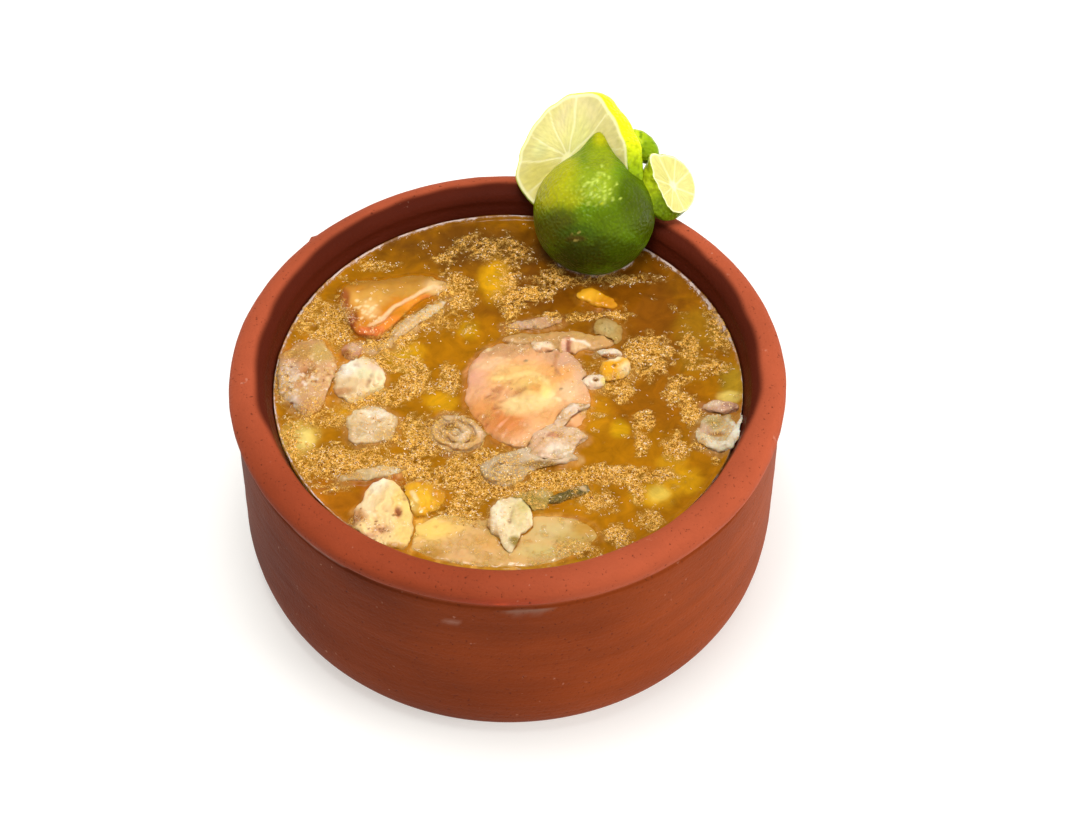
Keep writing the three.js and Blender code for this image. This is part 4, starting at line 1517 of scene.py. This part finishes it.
@dataclass(frozen=True)
class Broth:
    """The soup up to its level: a fine skin on a plain body, in mm."""

    level: float = BROTH_LEVEL
    radius: float = 76.1
    floor: float = 12.4
    floor_reach: float = 60.0
    bend: float = 30.0
    bend_reach: float = 74.5
    climb: float = 1.1
    climb_reach: float = 2.6
    cling: float = 0.9
    cling_reach: float = 2.2
    haze_reach: float = 2.6
    haze_tint: tuple[float, float, float] = (1.0, 0.84, 0.5)
    cells: int = 300
    edge_widths: tuple[float, ...] = (
        0.25, 1.5, 1.0, 0.45, 0.7, 0.9, 1.1, 0.9, 0.6, 0.9, 0.7, 0.15, 0.02, 0.02, 0.02, 0.1
    )
    lime_edge: float = 0.9

    def skin(self) -> Shape:
        """An even disc of small faces, closed below by the body's wall and floor.

        Returns:
            The soup's plain form as a bmesh in mm.
        """
        bm = bmesh.new()
        bmesh.ops.create_grid(bm, x_segments=self.cells, y_segments=self.cells, size=1.0)
        square = places_of(bm)
        x, y = square[:, 0], square[:, 1]
        wide = np.abs(x) > np.abs(y)
        reach = np.where(wide, x, y) * self.radius
        lean = math.pi / 4 * np.divide(
            np.where(wide, y, x), np.where(wide, x, y), out=np.zeros(len(x)), where=reach != 0
        )
        angle = np.where(wide, lean, math.pi / 2 - lean)
        round_off = np.column_stack(
            [reach * np.cos(angle), reach * np.sin(angle), np.full(len(x), self.level)]
        )
        put(bm, round_off)
        edge = [e for e in bm.edges if e.is_boundary]
        for height, radius in ((self.bend, self.bend_reach), (self.floor, self.floor_reach)):
            grown = bmesh.ops.extrude_edge_only(bm, edges=edge)["geom"]
            edge = [e for e in grown if isinstance(e, bmesh.types.BMEdge)]
            for vert in [v for v in grown if isinstance(v, bmesh.types.BMVert)]:
                flat = vert.co.xy.normalized() * radius
                vert.co = (flat.x, flat.y, height)
            edge = [e for e in edge if e.is_boundary]
        bmesh.ops.edgeloop_fill(bm, edges=edge)
        bmesh.ops.recalc_face_normals(bm, faces=bm.faces)
        return bm

    def build(self, flesh: "Surface", lime: "Surface") -> Piece:
        """Makes the soup.

        Args:
            flesh: The pieces of trotter that stand in it, in mm.
            lime: The lime that stands in it, in mm.

        Returns:
            The finished piece.
        """
        bm = self.skin()
        places = places_of(bm)
        top = places[:, 2] > self.level - 0.01
        radius = np.hypot(places[:, 0], places[:, 1])
        angle = np.arctan2(places[:, 1], places[:, 0])
        froth = np.where(top, froth_at(places), 0)
        near, hazed = flesh.nearest(places, top, self.haze_reach)
        near_lime, _ = lime.nearest(places, top, self.haze_reach)
        wall_rise = eased(self.radius - self.climb_reach, self.radius, radius) ** 2
        close = np.minimum(near, near_lime)
        rise = self.climb * wall_rise + self.cling * eased(self.cling_reach, 0.0, close) ** 2
        rise += 0.1 * hum(places, 5, 21) + froth * (0.15 + 0.25 * threads_at(places))
        places[:, 2] += np.where(top, rise, 0)
        put(bm, places)
        # Flesh shows through the cloudy soup round its edges.
        haze = eased(self.haze_reach, 0, near + 1.1 * hum(places, 2.2, 25)) * top
        haze = haze * (0.7 + 0.5 * hum(places, 5, 27))
        tints = laid_over(broth_tints(places), hazed * self.haze_tint, haze)
        # Painted shade: the broth is darker in the gaps among the froth.
        tints = tints * (1 - 0.25 * np.clip(froth, 0, 1))[:, None]
        scummed = np.clip(froth * (0.72 + 0.4 * threads_at(places)), 0, 1)
        # How wide the painted light and shade at the soup's edge is, round the wall.
        widths = np.maximum(around(self.edge_widths, angle) + 0.25 * hum(places, 7, 24), 0.02)
        shore = np.minimum((self.radius - radius) / widths, 9.0)
        # Round the lime the same painted light and shade runs along the waterline.
        ring = near_lime / (self.lime_edge * (1 + 0.6 * hum(places, 2.2, 26)))
        values = {"froth": scummed, "shore": np.minimum(shore, ring)}
        material = CloudyBroth().material()
        return piece_from(bm, "soup_broth", [material], "soup", ["soup"], tints, values)


# Threads and bubbles are drawn from these, palest first; the palest are pale scum with a painted highlight.
SCUM_AND_GLINT_TONES = ("#fff2d6", "#ffde98", "#eca93a", "#84480a")


def scum_tints(draw: np.random.Generator, count: int, shift: np.ndarray) -> np.ndarray:
    """A linear colour of scum for each of `count` things, paler where `shift` is high.

    Args:
        draw: The source of the random draws.
        count: How many colours are wanted.
        shift: How much paler each is.

    Returns:
        The linear colours.
    """
    tones = np.array([linear(colour) for colour in SCUM_AND_GLINT_TONES])
    place = np.clip(draw.uniform(0, 1, count) - 0.3 * shift, 0, 0.999) * (len(tones) - 1)
    low = place.astype(int)
    return laid_over(tones[low], tones[low + 1], place - low)


def joined(
    name: str, corners: np.ndarray, faces: Sequence[tuple[int, ...]], colours: np.ndarray,
    material: Material
) -> Piece:
    """Many like small shapes as one piece.

    Args:
        name: The piece's name.
        corners: The corners of each shape, in mm: shape, corner, axis.
        faces: The faces of one shape as places in its corners.
        colours: A linear colour for each shape.
        material: The material.

    Returns:
        The finished piece.
    """
    count, size = corners.shape[:2]
    starts = (np.arange(count) * size).tolist()
    mesh = bpy.data.meshes.new("small_shapes")
    mesh.from_pydata(
        corners.reshape(-1, 3), [], [tuple(start + i for i in f) for start in starts for f in faces]
    )
    bm = bmesh.new()
    bm.from_mesh(mesh)
    bpy.data.meshes.remove(mesh)
    return piece_from(bm, name, [material], "soup", (), np.repeat(colours, size, axis=0))


def seated(tree: BVHTree, places: Places, lowest: float, highest: float) -> np.ndarray:
    """The height of the surface under each place, or NaN where it lies outside the range.

    Args:
        tree: The surface.
        places: Rows of x, y and z in mm.
        lowest: The range's lower end in mm.
        highest: Its upper end in mm.

    Returns:
        The heights in mm.
    """
    heights = np.full(len(places), np.nan)
    for i, (x, y) in enumerate(places[:, :2]):
        hit = tree.ray_cast(Vector((x, y, ABOVE_ALL)), Vector((0, 0, -1)))[0]
        if hit is not None and lowest < hit.z < highest:
            heights[i] = hit.z
    return heights


@dataclass(frozen=True)
class Threads:
    """Fine threads that follow the swirls of scum, in mm."""

    name: str
    count: int
    seed: int
    swirl: float = 1.3
    stride: float = 0.22
    steps: int = 4
    thinnest: float = 0.055
    spread: float = 0.085

    def traced(self, starts: Places) -> Places:
        """Follows the swirls from each start: thread, step, axis.

        Args:
            starts: Where the threads start.

        Returns:
            The places of each thread's steps.
        """
        route = [starts]
        probe = 0.1
        before = None
        for _ in range(self.steps):
            here = route[-1]
            bent = here * (0.8, 1.1, 1.0)
            level = hum(bent, self.swirl, self.seed)
            slope_x = hum(bent + (probe, 0, 0), self.swirl, self.seed) - level
            slope_y = hum(bent + (0, probe, 0), self.swirl, self.seed) - level
            way = np.column_stack([-slope_y, slope_x, np.zeros(len(here))])
            way /= np.maximum(np.linalg.norm(way, axis=1), 1e-6)[:, None]
            if before is not None:
                way *= np.where((way * before).sum(axis=1) < 0, -1, 1)[:, None]
            before = way
            route.append(here + way * self.stride)
        return np.stack(route, axis=1)

    def build(
        self, starts: Places, tree: BVHTree, range_z: tuple[float, float], material: Material
    ) -> Piece:
        """Lays the threads on a surface.

        Args:
            starts: Where threads may start; the first that fit are used.
            tree: The surface.
            range_z: The lowest and highest place of the surface that takes threads.
            material: Their material.

        Returns:
            The finished piece.
        """
        draw = np.random.default_rng(self.seed)
        route = self.traced(starts)
        flat = route.reshape(-1, 3)
        heights = seated(tree, flat, *range_z).reshape(route.shape[:2])
        kept = ~np.isnan(heights).any(axis=1) & (np.ptp(heights, axis=1) < 0.8)
        route, heights = route[kept][: self.count], heights[kept][: self.count]
        route[:, :, 2] = heights
        count = len(route)
        thick = self.thinnest + self.spread * draw.power(0.7, count)
        taper = np.sin(np.linspace(0.12, 0.88, self.steps + 1) * math.pi)
        along = np.gradient(route, axis=1)
        along /= np.maximum(np.linalg.norm(along, axis=2), 1e-6)[:, :, None]
        side = np.stack([-along[:, :, 1], along[:, :, 0], np.zeros(along.shape[:2])], axis=2)
        up = np.array([0.0, 0.0, 1.0])
        reach = (thick[:, None] * taper[None])[:, :, None]
        corners_at = [math.radians(a) for a in (90, 210, 330)]
        rings = [route + reach * (math.cos(a) * side + (0.35 + math.sin(a)) * up) for a in corners_at]
        corners = np.stack(rings, axis=2).reshape(count, -1, 3)
        faces: list[tuple[int, ...]] = [(0, 2, 1)]
        for step in range(self.steps):
            for k in range(3):
                a, b = 3 * step + k, 3 * step + (k + 1) % 3
                faces.append((a, b, b + 3, a + 3))
        last = 3 * self.steps
        faces.append((last, last + 1, last + 2))
        lone = eased(0.5, 0.1, froth_at(route[:, 0]))
        colours = scum_tints(draw, count, hum(route[:, 0], 6, self.seed + 1) + 2 * lone)
        return joined(self.name, corners, faces, colours, material)


@dataclass(frozen=True)
class Froth:
    """Threads of scum and bubbles in islands on the soup, in mm."""

    level: float = BROTH_LEVEL
    radius: float = 75.8
    most_climb: float = 3.6
    stray: float = 0.003
    threads: int = 5200
    bubbles: int = 6500
    smallest: float = 0.09
    spread: float = 0.18

    def starts(self, seed: int, tries: int) -> Places:
        """Places spread over the soup as thickly as the froth lies there.

        Args:
            seed: Chooses the random draws.
            tries: How many places are tried.

        Returns:
            The places that froth covers.
        """
        draw = np.random.default_rng(seed)
        angle = draw.uniform(0, 2 * math.pi, tries)
        reach = self.radius * np.sqrt(draw.uniform(0, 1, tries))
        spots = np.column_stack([reach * np.cos(angle), reach * np.sin(angle), np.full(tries, self.level)])
        density = froth_at(spots) * np.clip(0.15 + 0.8 * threads_at(spots), 0.03, 1) + self.stray
        density *= eased(self.radius, self.radius - 2.4, reach)
        return spots[draw.uniform(0, 1, tries) < density]

    def bubble_piece(self, tree: BVHTree, material: Material) -> Piece:
        """Makes the bubbles.

        Args:
            tree: The surface that the bubbles sit on.
            material: Their material.

        Returns:
            The finished piece.
        """
        spots = self.starts(12, 4 * self.bubbles)
        heights = seated(tree, spots, self.level - 1, self.level + self.most_climb)
        spots[:, 2] = heights
        spots = spots[~np.isnan(heights)][: self.bubbles]
        count = len(spots)
        ball = bmesh.new()
        bmesh.ops.create_icosphere(ball, subdivisions=1, radius=1.0)
        shape = places_of(ball)
        faces = [tuple(v.index for v in f.verts) for f in ball.faces]
        ball.free()
        draw = np.random.default_rng(13)
        sizes = self.smallest + self.spread * draw.uniform(0, 1, count) ** 3
        sizes *= np.where(draw.uniform(0, 1, count) > 0.985, 1.7, 1.0)
        corners = spots[:, None, :] + shape[None] * sizes[:, None, None] * (1, 1, 0.8)
        colours = scum_tints(draw, count, 0.6 + hum(spots, 7, 42))
        return joined("froth_bubbles", corners, faces, colours, material)

    def build(self, surface: BVHTree) -> None:
        """Makes the froth on the surface of the soup and everything in it, in mm.

        Args:
            surface: The surface as a search tree.
        """
        foam = Foam().material()
        range_z = (self.level - 1, self.level + self.most_climb)
        for number, seed in enumerate((71, 72), 1):
            threads = Threads(f"froth_threads_{number}", self.threads, seed)
            threads.build(self.starts(seed, 5 * self.threads), surface, range_z, foam)
        self.bubble_piece(surface, foam)


# ---- The lime garnish -----------------------------------------------------


@dataclass(frozen=True)
class Garnish:
    """The garnish's own frame: X to the right, Y up along the lime, Z to the front, in mm."""

    centre: tuple[float, float, float] = (29.4, 64.6, 83.3)
    lean: float = 39.8

    def place(self, at: tuple[float, float, float], tilt: tuple[float, float] = (0, 0)) -> Matrix:
        """A placement in the garnish's frame, tilted about X and Y.

        Args:
            at: The place in that frame.
            tilt: The tilts about X and Y in degrees.

        Returns:
            The placement in the bowl's frame.
        """
        spin = Matrix.Rotation(math.radians(tilt[1]), 4, "Y")
        spin = spin @ Matrix.Rotation(math.radians(tilt[0]), 4, "X")
        lean = Matrix.Rotation(math.radians(self.lean), 4, "X")
        return Matrix.Translation(self.centre) @ lean @ Matrix.Translation(at) @ spin


GARNISH = Garnish()


@dataclass(frozen=True)
class Lime:
    """A round lime with a pointed end, cut flat behind, in mm."""

    radius: float = 20.5
    tip: float = 7.1
    tip_reach: float = 4.9
    cut: float = -3.0
    turn: float = -4.0
    steps: int = 140

    def build(self, peel: Material, pulp: Material) -> Piece:
        """Makes the lime.

        Args:
            peel: The material of its skin.
            pulp: The material of the cut behind.

        Returns:
            The finished piece.
        """
        profile = []
        for x, y in arc((0, 0), (self.radius, self.radius), -90, 90, 90):
            reach = max(x, 0.0)
            lift = self.tip * math.exp(-((reach / self.tip_reach) ** 2)) if y > 0 else 0.0
            profile.append((reach, y + lift))
        profile[0] = (0.0, profile[0][1])
        profile[-1] = (0.0, profile[-1][1])
        bm = turned(profile, self.steps)
        for angle, axis in ((-90, "X"), (self.turn, "Z")):
            turn = Matrix.Rotation(math.radians(angle), 4, axis)
            bmesh.ops.rotate(bm, matrix=turn, verts=bm.verts)
        places = places_of(bm)
        outwards = normals_of(bm)
        ribs = 0.35 * hum(places, 13, 51) + 0.12 * hum(places, 3.5, 52)
        put(bm, places + outwards * ribs[:, None])
        sliced = bmesh.ops.bisect_plane(
            bm, geom=bm.verts[:] + bm.edges[:] + bm.faces[:], plane_co=(0, 0, self.cut),
            plane_no=(0, 0, -1), clear_outer=True
        )
        rim = [e for e in sliced["geom_cut"] if isinstance(e, bmesh.types.BMEdge)]
        for face in bmesh.ops.edgeloop_fill(bm, edges=rim)["faces"]:
            face.material_index = 1
        places = places_of(bm)
        tints = self.tints(places)
        bmesh.ops.transform(bm, matrix=GARNISH.place((0, 0, 0)), verts=bm.verts)
        return piece_from(bm, "lime_fruit", [peel, pulp], "lime", ["lime"], tints)

    def tints(self, places: Places) -> np.ndarray:
        """Yellower above and to the left, green to the right, dark below as painted shade, and a painted
        highlight of pale flecks above the middle.

        Args:
            places: Rows of x, y and z in mm.

        Returns:
            A linear colour for each place.
        """
        # Painted light and shade: the pale patch and flecks above the middle are a painted highlight, and
        # the dark olive patches low down are painted shade.
        spots = (
            (-11, 10, 9, 9, "#a8a80c"), (-16, 7, 5, 9, "#a4a004", 0.8), (-9, 6, 5, 5, "#a8aa14", 0.8),
            (0, 9, 9, 7, "#86981c", 0.9), (2, 19, 7, 7, "#869412", 0.9), (2.4, 26, 3.4, 4, "#a8a80c"),
            (12.5, 6, 7, 9, "#485c02"), (16, -2, 7, 10, "#404e02"), (4, -5, 10, 6, "#506404", 0.8),
            (-14, -5, 8, 7, "#4c4c08", 0.9), (-5, -7.5, 7, 3, "#3c5208", 0.8),
            (-6.5, -9.4, 3.4, 1, "#5c2c10", 0.75), (-2, -15, 18, 6, "#343c06"), (10, -13, 8, 5, "#3c4c04"),
            *cluster(-6.5, -8.4, 3, 6, 0.3, "#a8984c"), *cluster(-8, 6, 9, 26, 0.45, "#a8ac20"),
            *cluster(1.5, 7.5, 5.5, 60, 0.4, "#b4c450")
        )
        return tinted(places, "#5f7e08", spots, wander=0.3, seed=6, light=PEEL_LIGHT)


class Zone(Enum):
    """The rings of a cut slice, by their colour."""

    CORE = "#f6f0b8"
    SAC = "#e6de92"
    MEMBRANE = "#fbf7cc"
    ALBEDO = "#f8f6c4"


@dataclass(frozen=True)
class Slice:
    """A round slice across a lime: wedges of pulp inside a band of peel, in mm.

    The outline is uneven as the knife left it, and `curl` bends the right half
    to the front round that radius.
    """

    name: str
    node: str
    radius: float
    thickness: float
    at: tuple[float, float, float]
    tilt: tuple[float, float]
    outline: tuple[float, ...] = (1.0,)
    curl: float = 0.0
    crown: float = 0.0
    wedges: int = 10
    phase: float = 0.3
    steps: int = 200
    rind_top: str = "#e8ec18"
    rind_low: str = "#86a00e"
    pith: tuple[float, float] = (0.0, 0.0)
    veins: float = 0.6
    bevelled: bool = False
    patches: tuple[Row, ...] = ()

    def profile(self) -> list[tuple[float, float]]:
        """Radius and depth from the middle of the front to the middle of the back.

        Returns:
            The points in order.
        """
        edge = 0.12 * self.thickness
        front = [(self.radius * i / 60, 0.0) for i in range(59)]
        between = self.thickness - 2 * edge
        side = [
            (self.radius * (1 + 0.012 * math.sin(math.pi * i / 8)), -edge - between * i / 8)
            for i in range(9)
        ]
        back = [
            (self.radius * i / 20, -self.thickness - self.crown * (1 - (i / 20) ** 2))
            for i in range(19, -1, -1)
        ]
        return [*front, (self.radius * 0.992, -edge * 0.3), *side, *back]

    def build(self, pulp: Material, peel: Material) -> Piece:
        """Makes the slice.

        Args:
            pulp: The material of its cut faces.
            peel: The material of its rind.

        Returns:
            The finished piece.
        """
        bm = turned(self.profile(), self.steps)
        flat = places_of(bm)
        angle = np.arctan2(flat[:, 1], flat[:, 0])
        share = np.hypot(flat[:, 0], flat[:, 1]) / self.radius
        from_pith = flat[:, :2] - self.pith
        reach = np.hypot(from_pith[:, 0], from_pith[:, 1])
        lean = np.arctan2(from_pith[:, 1], from_pith[:, 0])
        wander = 0.1 * hum(flat, 9, self.radius)
        spoke = (lean / (2 * math.pi) * self.wedges + self.phase + wander) % 1
        wall = np.minimum(spoke, 1 - spoke) * reach * 2 * math.pi / self.wedges
        membrane = self.veins * np.maximum(eased(0.5, 0.12, wall), eased(2.4, 1.0, reach))
        albedo = 0.8 * eased(0.91, 0.95, share)
        core = eased(2.6, 0.8, reach + 0.8 * hum(flat, 2.0, 5))
        front = flat[:, 2] > -0.05 * self.thickness
        # Juice sacs lie like narrow drops that point to the pith.
        sacs = hum(np.column_stack([lean * 17, reach * 0.28, flat[:, 2]]), 1.0, 3.3, octaves=2)
        swell = np.where(front, (1 - membrane) * (1 - albedo) * (0.15 + 0.14 * sacs), 0)
        tints = tinted(flat, Zone.SAC.value, self.patches, seed=self.radius, light=PULP_LIGHT)
        tints *= 1 + 0.13 * sacs[:, None] + 0.05 * hum(flat, 6, 9)[:, None]
        for amount, zone in ((membrane, Zone.MEMBRANE), (albedo, Zone.ALBEDO), (core, Zone.CORE)):
            tints = laid_over(tints, zone.value, amount)
        skin = eased(0.965, 0.99, share)
        if self.crown:
            skin = np.maximum(skin, np.where(front, 0, 1))
        shade = eased(0.15 * self.radius, -0.5 * self.radius, flat[:, 1] - 0.2 * flat[:, 0])
        rind = laid_over(self.rind_top, self.rind_low, shade)
        # Oil glands speckle the peel darker.
        rind = rind * (1 - 0.3 * eased(0.05, 0.45, hum(flat, 1.3, 12)))[:, None]
        tints = laid_over(tints, rind, skin)
        flat[:, 2] += swell
        cut = around(self.outline, angle)
        if self.bevelled:
            # The knife went in at a slant, so the face is narrower than the peel behind it.
            cut = 1 + (cut - 1) * eased(-0.75 * self.thickness, 0.0, flat[:, 2])
        flat[:, 0] *= cut
        flat[:, 1] *= cut
        rough = 0.12 * hum(flat, 1.6, 8) * skin
        flat[:, :2] *= (1 + rough / self.radius)[:, None]
        if self.curl:
            right = flat[:, 0] > 0
            turn = np.where(right, flat[:, 0] / self.curl, 0)
            lifted = self.curl - flat[:, 2]
            flat[:, 0] = np.where(right, lifted * np.sin(turn), flat[:, 0])
            flat[:, 2] = np.where(right, self.curl - lifted * np.cos(turn), flat[:, 2])
        for face in bm.faces:
            on_rind = all(skin[v.index] > 0.5 for v in face.verts)
            face.material_index = 1 if on_rind else 0
        put(bm, flat)
        bmesh.ops.transform(bm, matrix=GARNISH.place(self.at, self.tilt), verts=bm.verts)
        return piece_from(bm, self.name, [pulp, peel], self.node, [self.node], tints)


WHEEL = Slice(
    "lime_wheel_cut", "lime_wheel", 21.6, 6.5, (-6.6, 20, -3.6), (0, -13),
    outline=(1.06, 0.94, 0.93, 1.03, 0.97, 0.87, 0.81, 0.81, 0.88, 1, 1, 1, 1, 1, 1.05, 1.15), curl=26,
    phase=0.86, pith=(-2.4, -0.6), veins=0.5,
    patches=(
        (-10, -7, 9, 6, "#e2d878"), (-8, 6, 8, 7, "#f3ec9c"), (1, 14, 9, 6, "#efe2a8", 0.7),
        (2, 6, 5, 9, "#eeea98"), (14, -2, 6, 12, "#eddf9c", 0.7), (-14, 3, 3, 4, "#e6e6a0", 0.6)
    )
)

END_SLICE = Slice(
    "lime_end_cut", "lime_end_slice", 11, 5, (26.5, 8.8, 2), (-4, 44),
    outline=(1.03, 1, 0.95, 0.92, 0.95, 1.05, 1.32, 0.94, 0.68, 0.58, 0.6, 0.7, 0.8, 0.86, 0.93, 1),
    crown=2.4, wedges=8, steps=150, rind_top="#98a80e", rind_low="#667c08", veins=0.35,
    patches=((0, 0, 12, 12, "#d6d07c"), (3, -1, 5, 7, "#ded88a")), bevelled=True
)


@dataclass(frozen=True)
class RindPiece:
    """A small piece of peel behind the wheel: its packed form, smoothed, in mm."""

    node: str = "lime_rind_piece"
    voxel: float = 0.35

    def build(self, peel: Material) -> Piece:
        """Makes the piece of peel.

        Args:
            peel: The material of its skin.

        Returns:
            The finished piece.
        """
        bm = cast_of(self.node, self.voxel)
        softened(bm, 6)
        places = places_of(bm)
        put(bm, places + normals_of(bm) * (0.2 + 0.1 * hum(places, 2, 61))[:, None])
        spots = (
            (43, 86, 3, 6, "#b8c81c"), (50, 82, 4, 5, "#7f9a10"), *cluster(46, 84, 4, 14, 0.6, "#6c8a0c")
        )
        tints = tinted(places, "#98ae14", spots, seed=8, light=PEEL_LIGHT)
        return piece_from(bm, "lime_rind_cut", [peel], self.node, [self.node], tints)


# ---- The studio -----------------------------------------------------------


@dataclass(frozen=True)
class Lamp:
    """A square soft light that faces the bowl, in mm and watts."""

    name: str
    at: tuple[float, float, float]
    width: float
    power: float
    glints: bool = False
    aim_height: float = 60.0

    def hang(self) -> None:
        """Hangs the light."""
        data = bpy.data.lights.new(self.name, "AREA")
        data.size = self.width * MM
        data.energy = self.power
        lamp = bpy.data.objects.new(self.name, data)
        place = Vector(self.at) * MM
        aim = Vector((0, 0, self.aim_height * MM)) - place
        turn = aim.to_track_quat("-Z", "Y").to_matrix().to_4x4()
        lamp.matrix_world = Matrix.Translation(place) @ turn
        lamp.visible_glossy = self.glints
        bpy.context.scene.collection.objects.link(lamp)


@dataclass(frozen=True)
class Studio:
    """A pale floor, soft light from above and the photograph's camera, in mm."""

    eye: tuple[float, float, float] = (0.0, -609.8, 788.2)
    forward: tuple[float, float, float] = (0.010855, 0.639755, -0.768502)
    right: tuple[float, float, float] = (0.999890, -0.014725, 0.001865)
    lens: float = 96.67
    sensor: float = 36.0
    floor_half: float = 3000.0
    horizon: float = 0.8
    zenith: float = 0.26
    # A smaller panel in front of the big one gives the wet surfaces their glints.
    lamps: tuple[Lamp, ...] = (
        Lamp("overhead", (0, 120, 950), 700, 6), Lamp("right_fill", (1300, -500, 500), 900, 15),
        Lamp("panel", (-60, -40, 930), 240, 3, glints=True)
    )

    def camera(self) -> None:
        """Places the camera."""
        data = bpy.data.cameras.new("camera")
        data.lens = self.lens
        data.sensor_width = self.sensor
        data.sensor_fit = "HORIZONTAL"
        data.clip_end = 20.0
        camera = bpy.data.objects.new("camera", data)
        forward = Vector(self.forward).normalized()
        right = Vector(self.right).normalized()
        up = right.cross(forward).normalized()
        turn = Matrix((right, up, -forward)).transposed().to_4x4()
        camera.matrix_world = Matrix.Translation(Vector(self.eye) * MM) @ turn
        bpy.context.scene.collection.objects.link(camera)
        bpy.context.scene.camera = camera

    def floor(self) -> None:
        """Lays the pale floor."""
        bm = bmesh.new()
        bmesh.ops.create_grid(bm, x_segments=1, y_segments=1, size=self.floor_half * MM)
        mesh = bpy.data.meshes.new("floor")
        bm.to_mesh(mesh)
        bm.free()
        mesh.materials.append(StudioPaper().material())
        floor = bpy.data.objects.new("floor", mesh)
        bpy.context.scene.collection.objects.link(floor)

    def build(self) -> None:
        """Sets up the whole studio."""
        self.camera()
        self.floor()
        for lamp in self.lamps:
            lamp.hang()
        world = bpy.data.worlds.new("studio")
        world.use_nodes = True
        tree = world.node_tree
        height = add(tree, "SeparateXYZ", {0: add(tree, "TexCoord", {}, "Generated")}, "Z")
        # The walls of the light tent are bright low down and dim above.
        fall = {"From Min": 0.3, "From Max": 0.6, "To Min": self.horizon, "To Max": self.zenith}
        glow = add(tree, "MapRange", {"Value": height, **fall})
        background = tree.nodes["Background"]
        background.inputs["Color"].default_value = rgba("#fffdfa")
        tree.links.new(glow, background.inputs["Strength"])
        bpy.context.scene.world = world
        bpy.context.scene.view_settings.view_transform = "Standard"


# ---- Putting it together --------------------------------------------------


def main() -> None:
    """Builds every piece and the studio."""
    logging.basicConfig(level=logging.INFO, format="%(message)s")
    Bowl().build()
    finishes = {tissue: tissue.value.material() for tissue in Tissue}
    flesh = [morsel.build(finishes[morsel.tissue], seed) for seed, morsel in enumerate(MORSELS, 1)]
    peel = LimePeel().material()
    pulp = LimePulp().material()
    garnish = [
        Lime().build(peel, pulp), WHEEL.build(pulp, peel), END_SLICE.build(pulp, peel),
        RindPiece().build(peel)
    ]
    standing = Surface.of(flesh)
    soup = Broth().build(standing, Surface.of(garnish[:1]))
    Froth().build(Surface.of([*flesh, garnish[0], soup]).tree)
    Studio().build()


if __name__ == "__main__":
    main()
